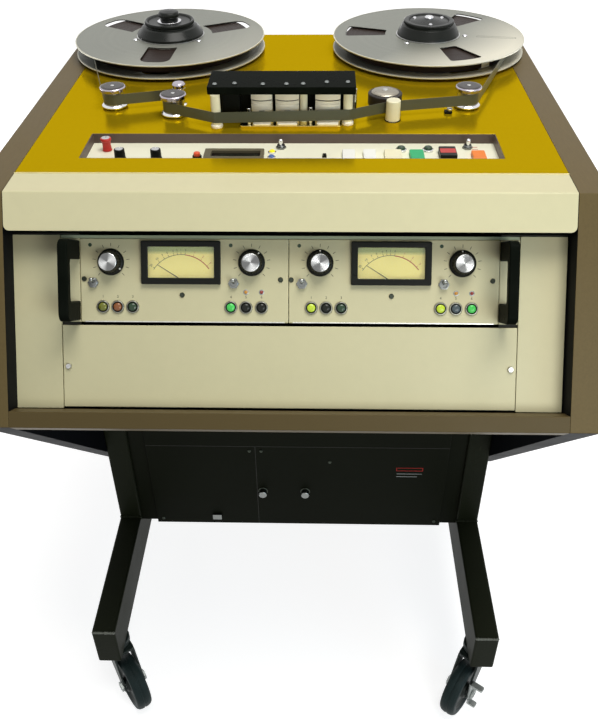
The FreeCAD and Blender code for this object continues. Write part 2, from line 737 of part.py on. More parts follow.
def card_tray():
    """The tray behind the module plates with two cards in it, and the lip that shows above the plates."""
    top, bottom = -(RACK_TOP + 3), -(RACK_TOP + RACK_HEIGHT - 3)
    back = PANEL_BACK - 120
    tray = block(-218, 218, bottom, top, back, PANEL_BACK)
    tray = tray.cut(block(-216.5, 216.5, bottom + 1.5, top - 1.5, back + 1.5, PANEL_BACK + 1))
    cards = [block(x - 0.8, x + 0.8, bottom + 1.5, top - 1.5, back + 6, back + 70) for x in (-110, 110)]
    half = RACK_WIDTH / 2
    lip = block(-half, half, -RACK_TOP, -RACK_TOP + TOP_LIP, PANEL_BACK, PANEL_BACK + 1.5)
    return [tray, lip] + cards


def electronics_panel():
    top = -RACK_TOP
    half = RACK_WIDTH / 2
    right_ear = block(MODULE_WIDTH + 0.2, half, top - RACK_HEIGHT, top, PANEL_BACK, FACE)
    pieces = [right_ear, mirrored(right_ear)] + card_tray()
    for module in MODULES:
        pieces.append(module_plate(module))
        for place in KNOB_PLACES:
            pieces.append(knob_shaft(*on_panel(place, KNOB_DOWN, module)))
        for place in TOGGLE_PLACES:
            pieces.append(toggle_bushing(*on_panel(place, TOGGLE_DOWN, module), FACE))
        for place in BUTTON_PLACES:
            pieces.append(ring(7.0, BUTTON_HOLE, FACE, FACE + 2.2, *on_panel(place, BUTTON_DOWN, module)))
        for place, down in LAMP_PLACES:
            x, y = on_panel(place, down, module)
            pieces.append(turned([(0, FACE), (1.8, FACE), (1.6, FACE + 1.2), (0, FACE + 1.8)], x, y))
    return pieces


def channel_knob(x, y, turn):
    """A skirted knob with a tapered grip, a flat cap and a raised pointer, turned as it is set."""
    bore = 3 + RUNNING
    section = [
        (bore, FACE + 0.5), (14.2, FACE + 0.5), (14.2, FACE + 2), (13.2, FACE + 3.4), (12, FACE + 4.4),
        (10.2, FACE + 15), (9.4, FACE + 16), (0, FACE + 16), (0, FACE + 12.5), (bore, FACE + 12.5),
    ]
    knob = joined(turned(section), block(-0.9, 0.9, 8, 13.4, FACE + 3, FACE + 5))
    knob.rotate(ORIGIN, Z_AXIS, turn)
    knob.translate(Vector(x, y, 0))
    return knob


def channel_button(x, y):
    rim = BUTTON_RADIUS
    section = [(0, FACE - 8), (rim, FACE - 8), (rim, FACE + 3), (rim - 0.8, FACE + 3.8), (0, FACE + 4)]
    return turned(section, x, y)


def meter_case(module):
    """A meter's bezel and housing, its window pane, its scale plate and the coil block."""
    x, y = on_panel(METER_LEFT + METER_WIDTH / 2, METER_DOWN + METER_HEIGHT / 2, module)
    width, height = METER_WIDTH / 2, METER_HEIGHT / 2
    bezel = block(x - width, x + width, y - height, y + height, FACE, FACE + 5)
    bezel = bezel.makeChamfer(1.5, [e for e in bezel.Edges if abs(e.CenterOfMass.z - FACE - 5) < 1e-6])
    housing = block(x - 37.8, x + 37.8, y - 20.8, y + 20.3, FACE - 33, FACE + 0.5)
    room = block(x - 36, x + 36, y - 20.1, y + 19, FACE - 31, FACE + 1)
    window = block(x - 35, x + 35, y - 16, y + 16.5, FACE, FACE + 6)
    case = joined(bezel, housing).cut([room, window])
    pane = block(x - 35, x + 35, y - 16, y + 16.5, FACE + 2, FACE + 3.4)
    scale = block(x - 36, x + 36, y - 20.1, y + 19, FACE - 4, FACE - 3)
    scale = scale.cut(rod(1.6, FACE - 5, FACE - 2, x, y - NEEDLE_PIVOT))
    coil = block(x - 9, x + 9, y - 20.1, y - 5, FACE - 31, FACE - 6)
    coil = coil.cut(rod(1 + RUNNING, FACE - 20, FACE, x, y - NEEDLE_PIVOT))
    return [case, pane, scale, coil]


def meter_needle(module):
    """A needle on its staff, resting at the left end of the scale."""
    x, y = on_panel(METER_LEFT + METER_WIDTH / 2, METER_DOWN + METER_HEIGHT / 2, module)
    staff = joined(rod(1, FACE - 19, FACE - 0.8), rod(1.6, FACE - 2.2, FACE - 0.8))
    needle = joined(staff, block(-0.4, 0.4, 0, NEEDLE_LENGTH, FACE - 1.8, FACE - 1.2))
    needle.rotate(ORIGIN, Z_AXIS, NEEDLE_REST)
    needle.translate(Vector(x, y - NEEDLE_PIVOT, 0))
    return needle


def blank_panel():
    top = -(RACK_TOP + RACK_HEIGHT + RACK_GAP)
    half = RACK_WIDTH / 2
    plate = block(-half, half, top - RACK_HEIGHT, top, PANEL_BACK, FACE)
    plate = plate.makeChamfer(1.0, edges_along(plate, X_AXIS, lambda p: p.z > FACE - 1))
    screws = [rod(4, FACE, FACE + 2, side * (half - 6), top - RACK_HEIGHT / 2) for side in (-1, 1)]
    return [plate] + screws


def rack_handle():
    """The right handle: a bar on two feet with a finger gap, made in one piece."""
    low, high = -132.0, -48.0
    reach = 46.0
    grip = block(220.8, 231.2, low, high, FACE, FACE + reach)
    grip = grip.makeFillet(9, edges_along(grip, X_AXIS, lambda p: p.z > FACE + 1))
    gap = block(219, 233, low + 20, high - 20, FACE - 1, FACE + reach - 11)
    gap = gap.makeFillet(5, edges_along(gap, X_AXIS, lambda p: p.z > FACE + 1))
    return grip.cut(gap)


# Stand

def stand_frame():
    """The right frame: a hollow beam with two uprights, and a socket for each caster stem."""
    inner, outer = LEG_OUTER - LEG_WIDTH, LEG_OUTER
    wall = TUBE_WALL
    beam = block(inner, outer, BEAM_FRONT, BEAM_BACK, BEAM_BOTTOM, BEAM_TOP)
    beam = beam.makeFillet(3, edges_along(beam, Y_AXIS))
    hollow = [block(inner + wall, outer - wall, BEAM_FRONT + wall, BEAM_BACK - wall,
                    BEAM_BOTTOM + wall, BEAM_TOP - wall)]
    uprights = []
    for front in (UPRIGHT_FRONT, UPRIGHT_BACK):
        uprights.append(block(inner, outer, front, front + UPRIGHT_DEPTH, BEAM_TOP, UPRIGHT_TOP))
        hollow.append(block(inner + wall, outer - wall, front + wall, front + UPRIGHT_DEPTH - wall,
                            BEAM_TOP, UPRIGHT_TOP - wall))
    frame = joined(beam, *uprights).cut(hollow)
    sockets = [rod(12, BEAM_BOTTOM, BEAM_BOTTOM + 44, CASTER_X, y) for y in (CASTER_FRONT, CASTER_BACK)]
    bores = [rod(6 + RUNNING, BEAM_BOTTOM - 1, BEAM_BOTTOM + 41, CASTER_X, y)
             for y in (CASTER_FRONT, CASTER_BACK)]
    return joined(frame, *sockets).cut(bores)


def power_chassis():
    """The power unit between the uprights, with its brackets, transformer, capacitors and inlet."""
    low, high = -670.0, -447.7
    front = UPRIGHT_FRONT
    panel = block(-231, 231, front, front + 3, low, high)
    panel = panel.makeChamfer(0.8, edges_along(panel, X_AXIS, lambda p: p.y < front + 1))
    panel_back = front + 3
    shell = block(-220, 220, panel_back, 420, low + 4, high - 4)
    shell = shell.cut(block(-218, 218, panel_back + 2, 418, low + 6, high - 6))
    bracket = block(231, LEG_OUTER - LEG_WIDTH, front + 6, front + 9, low, high)
    wing = block(220, 231, front + 3, front + 9, low, high)
    bracket = joined(bracket, wing)
    transformer = block(60, 170, 230, 330, low + 6, low + 106)
    cans = [rod(22, low + 6, low + 100, x, 250) for x in (-150, -90, -30)]
    screws = []
    for x in (-55, 12):
        screw = turned([(0, 0), (6.5, 0), (6.5, 9), (5.4, 10), (0, 10)])
        screw.rotate(ORIGIN, X_AXIS, 90)
        screw.translate(Vector(x, front, -593))
        screws.append(screw)
    catch = block(-139, -124, front - 5, front, -657, -646)
    inlet = block(-14, 14, 420, 426, -640, -616)
    inlet = inlet.makeFillet(3, edges_along(inlet, Y_AXIS))
    inlet = joined(inlet, block(-12, 12, 402, 420, -638, -618))
    inlet = inlet.cut(block(-10, 10, 406, 427, -636, -620))
    shell = shell.cut(block(-12, 12, 417, 421, -638, -618))
    pins = [block(x - 1, x + 1, 406, 418, -630.5, -625.5) for x in (-6, 0, 6)]
    inlet = joined(inlet, *pins)
    return [panel, shell, bracket, mirrored(bracket), transformer, catch, inlet] + cans + screws


def caster_fork(with_lever):
    """A swivel head with its stem, crown, two legs and the axle, for a wheel forward of the swivel."""
    stem = rod(6, BEAM_BOTTOM - 4, BEAM_BOTTOM + 40)
    head = rod(20, BEAM_BOTTOM - 12, BEAM_BOTTOM - 0.4)
    crown_low = BEAM_BOTTOM - 16
    y = -CASTER_TRAIL
    crown = block(-17, 17, -26, 20, crown_low, crown_low + 4)
    crown = crown.makeFillet(6, edges_along(crown, Z_AXIS))
    legs = []
    for x in (-17, 14):
        top = crown_low + 1
        outline = [(18, top), (-24, top), (y - 10, AXLE), (y, AXLE - 10), (y + 10, AXLE)]
        legs.append(side_profile(outline, x, x + 3))
    far = 24.0 if with_lever else 20.5
    axle = rod_x(5, -20.5, far, y, AXLE)
    nuts = [rod_x(8, -20.5, -17, y, AXLE), rod_x(8, far - 3, far, y, AXLE)]
    return joined(stem, head, crown, *legs, axle, *nuts)


def caster_wheel():
    """A wheel with a rounded tread, dished sides and a hub, bored for its axle."""
    bore = 5 + RUNNING
    rim = WHEEL_RADIUS
    half = [(bore, 13), (12, 13), (13, 9.5), (30, 8.5), (33, 11), (40, 11.5), (43, 9), (rim, 4)]
    section = half + [(radius, -z) for radius, z in reversed(half)]
    wheel = turned(section)
    wheel.rotate(ORIGIN, Y_AXIS, 90)
    wheel.translate(Vector(0, -CASTER_TRAIL, AXLE))
    return wheel


def brake_lever():
    """A two-pronged lever that turns on the axle's outer end."""
    y = -CASTER_TRAIL
    near, far = 17.5, 20.5
    plate = joined(
        rod_x(10, near, far, y, AXLE),
        block(near, far, y - 11, y - 1, AXLE, AXLE + 36),
        block(near, far, y - 8, y + 2, AXLE - 20, AXLE),
        block(near, 38, y - 11, y - 1, AXLE + 33, AXLE + 36),
        block(near, 31, y - 8, y + 2, AXLE - 20, AXLE - 17),
    )
    return plate.cut(rod_x(5 + RUNNING, near - 1, far + 1, y, AXLE))


# name: x, y and heading of each caster
CASTERS = {
    "front_left": (-CASTER_X, CASTER_FRONT, 36.0),
    "front_right": (CASTER_X, CASTER_FRONT, -36.0),
    "rear_left": (-CASTER_X, CASTER_BACK, 24.0),
    "rear_right": (CASTER_X, CASTER_BACK, -18.0),
}


def swivelled(shape, corner):
    x, y, heading = CASTERS[corner]
    shape.rotate(ORIGIN, Z_AXIS, heading)
    shape.translate(Vector(x, y, 0))
    return shape


def save_cabinet():
    board = side_board()
    save("side_panels", [board, mirrored(board)])
    save("cabinet_rails", cabinet_rails())
    save("rear_panel", [rear_panel()])
    nose = nose_panel()
    strips = filler_strips()
    for strip in strips:
        strip.rotate(ORIGIN, X_AXIS, 90 - FRONT_LEAN)
    save("nose_panel", [nose] + strips)
    save("deck_plate", [deck_plate()])


def save_controls():
    save("control_well", control_well())
    red = [(5.6, PAN_FLOOR + 0.4), (5.0, -9), (4.6, -4.5), (5.2, -0.5), (6.2, 1), (6.2, 3), (5.4, 3.8)]
    black = [(6.8, PAN_FLOOR + 0.4), (6.8, -9.8), (6.2, -9), (5.8, 1), (5, 1.8)]
    for name, (x, y) in PAN_KNOBS.items():
        save(name, [pan_knob(x, y, red if name == "power_knob" else black)])
    save("reset_button", [reset_button()])
    save("mode_switch", [slide_switch()])
    save("deck_switches", [toggle_lever(x, TOGGLE_LINE, PAN_FLOOR, 12) for x in STRIP_TOGGLES])
    for name, sizes in PUSH_BUTTONS.items():
        save(name, [push_button(*sizes)])
    save("wind_buttons", [push_button(*sizes) for sizes in WIND_BUTTONS])


def save_reels():
    for name, x, pack in (("supply", -REEL_X, SUPPLY_PACK), ("takeup", REEL_X, TAKEUP_PACK)):
        save(name + "_turntable", [turntable(x)])
        save(name + "_reel", [reel(name, x)])
        save(name + "_tape", [tape_pack(pack, x)])
    save("supply_hub_lock", [supply_hub_lock()])
    save("takeup_hub_lock", [takeup_hub_lock()])


def save_tape_path():
    for name, (x, y) in ROLLERS.items():
        save(name, [tape_roller(x, y)])
    save("tape_guides", tape_guides())
    save("tape_run", [tape_run()])
    save("head_block", head_block())
    save("head_cover", head_cover())
    save("capstan", [capstan()])
    save("pinch_arm", [pinch_arm()])
    save("pinch_roller", [pinch_roller()])
    save("tape_lifters", [tape_lifters()])
    save("drive_motors", drive_motors())


def save_electronics():
    save("electronics_panel", electronics_panel(), on_front=True)
    save("meter_cases", meter_case(MODULES[0]) + meter_case(MODULES[1]), on_front=True)
    levers = []
    buttons = []
    for number, module in enumerate(MODULES, start=1):
        for side, place in zip(("left", "right"), KNOB_PLACES):
            knob = channel_knob(*on_panel(place, KNOB_DOWN, module), KNOB_TURNS[number, side])
            save(f"channel_{number}_{side}_knob", [knob], on_front=True)
        save(f"channel_{number}_needle", [meter_needle(module)], on_front=True)
        for place in TOGGLE_PLACES:
            levers.append(toggle_lever(*on_panel(place, TOGGLE_DOWN, module), FACE, -12))
        for place in BUTTON_PLACES:
            buttons.append(channel_button(*on_panel(place, BUTTON_DOWN, module)))
    save("channel_switches", levers, on_front=True)
    save("channel_buttons", buttons, on_front=True)
    save("blank_panel", blank_panel(), on_front=True)
    handle = rack_handle()
    save("rack_handles", [handle, mirrored(handle)], on_front=True)


def save_stand():
    frame = stand_frame()
    save("stand_frames", [frame, mirrored(frame)])
    save("power_chassis", power_chassis())
    for corner in CASTERS:
        braked = corner == "front_right"
        save("caster_fork_" + corner, [swivelled(caster_fork(braked), corner)])
        save("caster_wheel_" + corner, [swivelled(caster_wheel(), corner)])
    save("brake_lever", [swivelled(brake_lever(), "front_right")])


def main():
    os.makedirs("parts", exist_ok=True)
    save_cabinet()
    save_controls()
    save_reels()
    save_tape_path()
    save_electronics()
    save_stand()


main()
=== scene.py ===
import json
import math

import bmesh
import bpy
from bpy.props import FloatProperty, FloatVectorProperty, IntProperty, PointerProperty
from mathutils import Matrix, Vector


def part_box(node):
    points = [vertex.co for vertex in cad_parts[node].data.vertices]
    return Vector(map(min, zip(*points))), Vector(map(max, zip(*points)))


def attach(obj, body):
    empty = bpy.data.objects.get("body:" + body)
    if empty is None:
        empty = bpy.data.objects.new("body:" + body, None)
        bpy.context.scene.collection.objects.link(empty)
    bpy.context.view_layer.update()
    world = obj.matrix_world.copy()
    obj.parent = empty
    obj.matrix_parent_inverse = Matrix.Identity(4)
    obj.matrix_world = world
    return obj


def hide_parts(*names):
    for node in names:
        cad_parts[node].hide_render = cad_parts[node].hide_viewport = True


bl_info = {
    "name": "Studio Tape Recorder",
    "version": (1, 0, 0),
    "blender": (4, 5, 0),
    "location": "3D View > Sidebar > Recorder",
    "description": "A two-channel reel-to-reel tape recorder in a wheeled console",
    "category": "Add Mesh",
}

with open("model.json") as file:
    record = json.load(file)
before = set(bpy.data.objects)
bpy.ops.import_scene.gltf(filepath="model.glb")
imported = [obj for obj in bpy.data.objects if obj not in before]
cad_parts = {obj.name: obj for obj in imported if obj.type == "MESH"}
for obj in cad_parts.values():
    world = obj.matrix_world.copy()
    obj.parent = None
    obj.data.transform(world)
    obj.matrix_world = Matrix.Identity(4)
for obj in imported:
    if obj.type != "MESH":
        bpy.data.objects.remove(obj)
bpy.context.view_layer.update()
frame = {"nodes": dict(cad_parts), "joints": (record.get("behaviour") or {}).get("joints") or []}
JOINTS = {joint["name"]: joint for joint in frame["joints"]}

# Shapes are made in millimetres, in the deck's frame or the sloped front's, and then placed.
# Deck frame: x right, y back from the deck's front edge, z up from its top.
# Front frame: x right, y up the slope from that edge, z outward.
MM = 0.001
NOSE_DEPTH = 43.0
FRONT_LEAN = 32.03
FRONT_SLOPE = 244.2
UNDERSIDE_ANGLE = 47.8
deck_low, deck_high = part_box("deck_plate")
DECK = Matrix.Translation((0, deck_low.y - NOSE_DEPTH * MM, deck_high.z)) @ Matrix.Scale(MM, 4)
FRONT = DECK @ Matrix.Rotation(math.radians(90 - FRONT_LEAN), 4, "X")
SIDEWAYS = Matrix(((0, 0, 1, 0), (1, 0, 0, 0), (0, 1, 0, 0), (0, 0, 0, 1)))
FACING = Matrix(((1, 0, 0, 0), (0, 0, -1, 0), (0, 1, 0, 0), (0, 0, 0, 1)))
BODY = "console"


def spot(joint):
    """Where a joint's axis stands on the deck, as x and y."""
    place = DECK.inverted() @ Vector(JOINTS[joint]["pos_m"])
    return place.x, place.y


# Sizes of the construction that the scene's pieces share
INNER_HALF = 292.0
OUTER_HALF = 324.0
BODY_DEPTH = 522.0
BOARD_HEIGHT = 620.0
FACE = -27.4
RACK_THICK = 3.2
PANEL_BACK = FACE - RACK_THICK
RACK_TOP = 46.0
RACK_HEIGHT = 88.1
RACK_HALF = 241.3
RACK_GAP = 3.5
MODULE_WIDTH = 221.0
MODULES = (-MODULE_WIDTH, 0.0)
PAN_HALF = 232.0
PAN_FRONT = 81.0
PAN_BACK = 148.0
PAN_FLOOR = -11.5
REEL_X = 182.4
REEL_BACK = 447.5
REEL_RADIUS = 133.35
REEL_LIFT = 4.1
FLANGE = 1.6
FLANGE_GAP = 14.6
REEL_TOP = REEL_LIFT + 2 * FLANGE + FLANGE_GAP
CORE_RADIUS = 57.15
BORE_RADIUS = 38.1
TAPE_LOW = REEL_LIFT + FLANGE + 0.95
TAPE_WIDTH = 12.7


def colour(text):
    """A colour as a shader takes it, from its hexadecimal screen value."""
    parts = [int(text[i:i + 2], 16) / 255 for i in (0, 2, 4)]
    return [c / 12.92 if c <= 0.04045 else ((c + 0.055) / 1.055) ** 2.4 for c in parts]


def paint(name, description, screen_value):
    """A colour that the user can change, with its default as a screen value."""
    return FloatVectorProperty(name=name, description=description, subtype="COLOR", size=3, min=0, max=1,
                               default=colour(screen_value))


class RecorderColours(bpy.types.PropertyGroup):
    """The colours that a user would change."""
    gold: paint("Deck", "Gloss paint of the deck plate", "B79A14")
    cream: paint("Panels", "Satin paint of the nose and the rack panels", "D2CBA4")
    taupe: paint("Boards", "Laminate of the side boards and paint of the rails", "675838")
    stand: paint("Stand", "Paint of the stand and of the power unit", "1B1E13")
    tape: paint("Tape", "Oxide side of the tape", "4E503E")


class RecorderSizes(bpy.types.PropertyGroup):
    """The small sizes that a user would change."""
    knob_flutes: IntProperty(
        name="Knob flutes", description="Flutes round the grip of a channel knob", default=24, min=8, max=60)
    screw_radius: FloatProperty(
        name="Screw radius", description="Head radius of a panel screw, in millimetres",
        default=3.2, min=1.0, max=6.0)
    edge_round: FloatProperty(
        name="Edge rounding", description="Rounding of the painted sheet edges, in millimetres",
        default=0.5, min=0.1, max=1.2)
    reel_edge: FloatProperty(
        name="Reel edge", description="Rounding of the reel flanges' rims, in millimetres",
        default=0.35, min=0.1, max=0.7)


# Shader graphs

class Signal:
    """A number on its way through a shader: Python's operators on it add Math nodes."""

    def __init__(self, shader, socket):
        self.shader = shader
        self.socket = socket

    def maths(self, operation, first, second):
        return self.shader.add("ShaderNodeMath", {"operation": operation}, {0: first, 1: second})

    def __add__(self, other):
        return self.maths("ADD", self, other)

    def __sub__(self, other):
        return self.maths("SUBTRACT", self, other)

    def __rsub__(self, other):
        return self.maths("SUBTRACT", other, self)

    def __mul__(self, other):
        return self.maths("MULTIPLY", self, other)

    def __gt__(self, other):
        return self.maths("GREATER_THAN", self, other)

    __radd__ = __add__
    __rmul__ = __mul__


class Shader:
    """A material, and the one way that its nodes are added."""

    def __init__(self, name, owner=None):
        self.material = owner or bpy.data.materials.new(name)
        self.material.use_nodes = True
        self.tree = self.material.node_tree
        self.tree.nodes.clear()

    def add(self, kind, settings=None, values=None, out=0):
        """Add a node with its settings and its sockets' values or links, and give one output."""
        node = self.tree.nodes.new(kind)
        for key, value in (settings or {}).items():
            setattr(node, key, value)
        for key, value in (values or {}).items():
            if isinstance(value, Signal):
                self.tree.links.new(value.socket, node.inputs[key])
            else:
                node.inputs[key].default_value = value
        return Signal(self, node.outputs[out]) if node.outputs else None

    def here(self):
        return self.add("ShaderNodeTexCoord", out="Object")

    def local(self, place):
        """Coordinates in metres in the frame of a placed piece."""
        turn = place.to_3x3().normalized().to_euler()
        values = {"Vector": self.here(), "Location": place.translation, "Rotation": turn}
        return self.add("ShaderNodeMapping", {"vector_type": "TEXTURE"}, values)

    def scaled(self, vector, scale):
        return self.add("ShaderNodeVectorMath", {"operation": "MULTIPLY"}, {0: vector, 1: scale})

    def part(self, vector, axis):
        return self.add("ShaderNodeSeparateXYZ", values={0: vector}, out=axis)

    def distance(self, vector):
        """How far a point lies from the upright axis through the origin."""
        flat = self.scaled(vector, (1, 1, 0))
        return self.add("ShaderNodeVectorMath", {"operation": "LENGTH"}, {0: flat}, out="Value")

    def facing(self, vector, degrees, share=1.0):
        """The cosine of a point's angle about the upright axis, counted from a direction."""
        axes = {0: self.part(vector, "Y"), 1: self.part(vector, "X")}
        angle = self.add("ShaderNodeMath", {"operation": "ARCTAN2"}, axes)
        sweep = (angle - math.radians(degrees)) * share
        return self.add("ShaderNodeMath", {"operation": "COSINE"}, {0: sweep})

    def noise(self, vector, scale, detail=2.0, roughness=0.5):
        values = {"Vector": vector, "Scale": scale, "Detail": detail, "Roughness": roughness}
        return self.add("ShaderNodeTexNoise", values=values)

    def line_noise(self, value, scale, detail=2.0):
        settings = {"noise_dimensions": "1D"}
        return self.add("ShaderNodeTexNoise", settings, {"W": value, "Scale": scale, "Detail": detail})

    def spread(self, value, low, high):
        """A value's range from 0 to 1 carried onto another."""
        return self.add("ShaderNodeMapRange", values={0: value, 3: low, 4: high})

    def window(self, value, low, high, new_low=0.0, new_high=1.0):
        """A value held between two limits and carried onto another range."""
        return self.add("ShaderNodeMapRange", values={0: value, 1: low, 2: high, 3: new_low, 4: new_high})

    def blend(self, factor, first, second):
        """A colour between two colours."""
        values = {0: factor}
        for index, value in ((6, first), (7, second)):
            values[index] = value if isinstance(value, Signal) else (*value[:3], 1.0)
        return self.add("ShaderNodeMix", {"data_type": "RGBA"}, values, out=2)

    def bump(self, height, strength, distance=0.001):
        values = {"Height": height, "Strength": strength, "Distance": distance}
        return self.add("ShaderNodeBump", values=values)

    def surface(self, **values):
        """End the graph in one Principled surface, and give the material."""
        sockets = {}
        for key, value in values.items():
            name = key.replace("_", " ").title().replace("Ior", "IOR")
            if name.endswith("Color") or name == "Specular Tint":
                value = value if isinstance(value, Signal) else (*value[:3], 1.0)
            sockets[name] = value
        result = self.add("ShaderNodeBsdfPrincipled", values=sockets)
        self.add("ShaderNodeOutputMaterial", values={"Surface": result})
        return self.material


def shade(value, share):
    """A colour made darker or lighter by a share."""
    return [min(1.0, c * share) for c in value[:3]]


def enamel(name, base, roughness, depth=0.06, variation=0.08, gloss=0.35):
    """Sprayed paint: an orange-peel skin, slow changes of tone and rubbed patches."""
    shader = Shader(name)
    here = shader.here()
    mix = shader.noise(here, 5.0, 3.0) * 0.7 + shader.noise(here, 90.0, 2.0) * 0.3
    tone = shader.blend(mix, shade(base, 1 - variation), shade(base, 1 + variation))
    rubbed = shader.spread(shader.noise(here, 22.0, 3.0), roughness - 0.06, roughness + 0.08)
    peel = shader.bump(shader.noise(here, 700.0, 2.0), depth)
    return shader.surface(base_color=tone, roughness=rubbed, specular_ior_level=gloss, normal=peel)


def plastic(name, base, roughness, variation=0.05, gloss=0.35):
    """Moulded plastic with a fine texture and slight handling marks."""
    shader = Shader(name)
    here = shader.here()
    tone = shader.blend(shader.noise(here, 60.0, 3.0), shade(base, 1 - variation), shade(base, 1 + variation))
    rubbed = shader.spread(shader.noise(here, 150.0, 3.0), roughness - 0.07, roughness + 0.1)
    return shader.surface(base_color=tone, roughness=rubbed, specular_ior_level=gloss,
                          normal=shader.bump(shader.noise(here, 1800.0, 1.0), 0.04))


def polished(name, base, roughness):
    """Plated metal with faint smears."""
    shader = Shader(name)
    smear = shader.noise(shader.here(), 120.0, 3.0)
    tone = shader.blend(smear, shade(base, 0.86), base)
    rubbed = shader.spread(smear, roughness - 0.05, roughness + 0.1)
    return shader.surface(base_color=tone, metallic=1.0, roughness=rubbed)


def spun_metal(name, place):
    """Metal turned on a lathe: fine rings about the placed piece's axis, and a painted fan of light and shade
    across them.
    """
    shader = Shader(name)
    local = shader.local(place)
    radius = shader.distance(local)
    ring = shader.line_noise(radius, 5200.0, 3.0)
    broad = shader.line_noise(radius, 416.0)
    silver = (0.74, 0.75, 0.74)
    tone = shader.blend(ring * 0.5 + broad * 0.5, shade(silver, 0.82), shade(silver, 1.06))
    # Painted shade: the colour darkens away from two opposite sectors, which stay bright as a painted
    # highlight.
    dark = shader.window(shader.facing(local, -30, 2.0), -0.6, 0.95, 0.85, 0.0)
    tone = shader.blend(dark, tone, shade(silver, 0.12))
    return shader.surface(base_color=tone, metallic=1.0, roughness=shader.spread(broad, 0.16, 0.32),
                          normal=shader.bump(ring, 0.25, 0.0004))


# Shapes, each a bmesh in millimetres

def circle(radius, x=0.0, y=0.0, count=48):
    return [(x + radius * math.cos(math.tau * i / count), y + radius * math.sin(math.tau * i / count))
            for i in range(count)]


def box_outline(left, right, low, high, radius=0.0):
    return outline([(left, low, radius), (right, low, radius), (right, high, radius), (left, high, radius)])


def outline(corners, steps=6):
    """A closed outline whose corners, given as x, y and a radius, are rounded by arcs."""
    points = []
    for index, (x, y, *rest) in enumerate(corners):
        radius = rest[0] if rest else 0.0
        here = Vector((x, y))
        if radius <= 0:
            points.append((x, y))
            continue
        before = (Vector(corners[index - 1][:2]) - here).normalized()
        after = (Vector(corners[(index + 1) % len(corners)][:2]) - here).normalized()
        half = before.angle(after) / 2
        centre = here + (before + after).normalized() * radius / math.sin(half)
        start = here + before * radius / math.tan(half) - centre
        sweep = math.pi - 2 * half
        if before.x * after.y - before.y * after.x > 0:
            sweep = -sweep
        for step in range(steps + 1):
            angle = sweep * step / steps
            x_turned = start.x * math.cos(angle) - start.y * math.sin(angle)
            y_turned = start.x * math.sin(angle) + start.y * math.cos(angle)
            points.append((centre.x + x_turned, centre.y + y_turned))
    return points


def polar(radius, degrees):
    """A point at a radius and an angle from the middle."""
    angle = math.radians(degrees)
    return radius * math.cos(angle), radius * math.sin(angle)


def arc(radius, start, end, steps):
    """Points along an arc between two angles in degrees."""
    return [polar(radius, start + (end - start) * step / steps) for step in range(steps + 1)]


def two_sides(inner, outer):
    """A piece's left and right ends on the right side, and on the left."""
    return (inner, outer), (-outer, -inner)


def spin(degrees, axis="Z"):
    """A turn about an axis."""
    return Matrix.Rotation(math.radians(degrees), 4, axis)


def area_of(loop):
    return sum(a[0] * b[1] - b[0] * a[1] for a, b in zip(loop, loop[1:] + loop[:1])) / 2


def shape_of(mesh):
    shape = bmesh.new()
    shape.from_mesh(mesh)
    return shape


def evaluated(thing):
    """An object's final mesh as a bmesh; the object is used up."""
    bpy.context.scene.collection.objects.link(thing)
    bpy.context.view_layer.update()
    final = thing.evaluated_get(bpy.context.evaluated_depsgraph_get())
    mesh = bpy.data.meshes.new_from_object(final)
    shape = shape_of(mesh)
    bpy.data.meshes.remove(mesh)
    bpy.data.objects.remove(thing)
    return shape


def plate(loops, low, high, rounding=0.0, steps=2):
    """A flat piece between two heights, from its outline and its holes' outlines, with rounded rims."""
    curve = bpy.data.curves.new("outline", "CURVE")
    curve.dimensions = "2D"
    curve.fill_mode = "BOTH"
    curve.extrude = (high - low) / 2 - rounding
    curve.bevel_depth = rounding
    curve.bevel_resolution = steps - 1
    curve.offset = -rounding
    for index, loop in enumerate(loops):
        if (area_of(loop) > 0) == (index > 0):
            loop = loop[::-1]
        spline = curve.splines.new("POLY")
        spline.points.add(len(loop) - 1)
        for point, (x, y) in zip(spline.points, loop):
            point.co = (x, y, 0, 1)
        spline.use_cyclic_u = True
    shape = evaluated(bpy.data.objects.new("outline", curve))
    bmesh.ops.translate(shape, verts=shape.verts, vec=(0, 0, (low + high) / 2))
    bmesh.ops.remove_doubles(shape, verts=shape.verts, dist=0.002)
    bmesh.ops.recalc_face_normals(shape, faces=shape.faces)
    return shape


def slab(left, right, front, back, radius, low, high, rounding=0.0, steps=2):
    """A plate with a rectangular outline."""
    return plate([box_outline(left, right, front, back, radius)], low, high, rounding, steps)


def upright_plate(loops, front, back, rounding=0.0, steps=2):
    """A plate that stands across the machine; its outlines are given as x and height."""
    return moved(plate(loops, -back, -front, rounding, steps), FACING)


def tray_walls(half, low, high, sheet):
    """The bottom, top, left and right walls of a tray of sheet metal: ends across, then up."""
    return ((-half, half, low, low + sheet), (-half, half, high - sheet, high),
            (-half, sheet - half, low, high), (half - sheet, half, low, high))


def side_plate(loops, left, right, rounding=0.0, steps=2):
    """A plate that stands along the machine; its outlines are given as depth and height."""
    return moved(plate(loops, left, right, rounding, steps), SIDEWAYS)


def bar(left, right, front, back, low, high, rounding=0.5, steps=2):
    """A block with rounded edges."""
    shape = bmesh.new()
    bmesh.ops.create_cube(shape, size=1.0)
    size = Matrix.Diagonal((right - left, back - front, high - low, 1.0))
    middle = Matrix.Translation(((left + right) / 2, (front + back) / 2, (low + high) / 2))
    bmesh.ops.transform(shape, matrix=middle @ size, verts=shape.verts)
    if rounding > 0:
        bmesh.ops.bevel(shape, geom=shape.edges[:], offset=rounding, offset_type="OFFSET", segments=steps,
                        profile=0.5, affect="EDGES", clamp_overlap=True)
    return shape


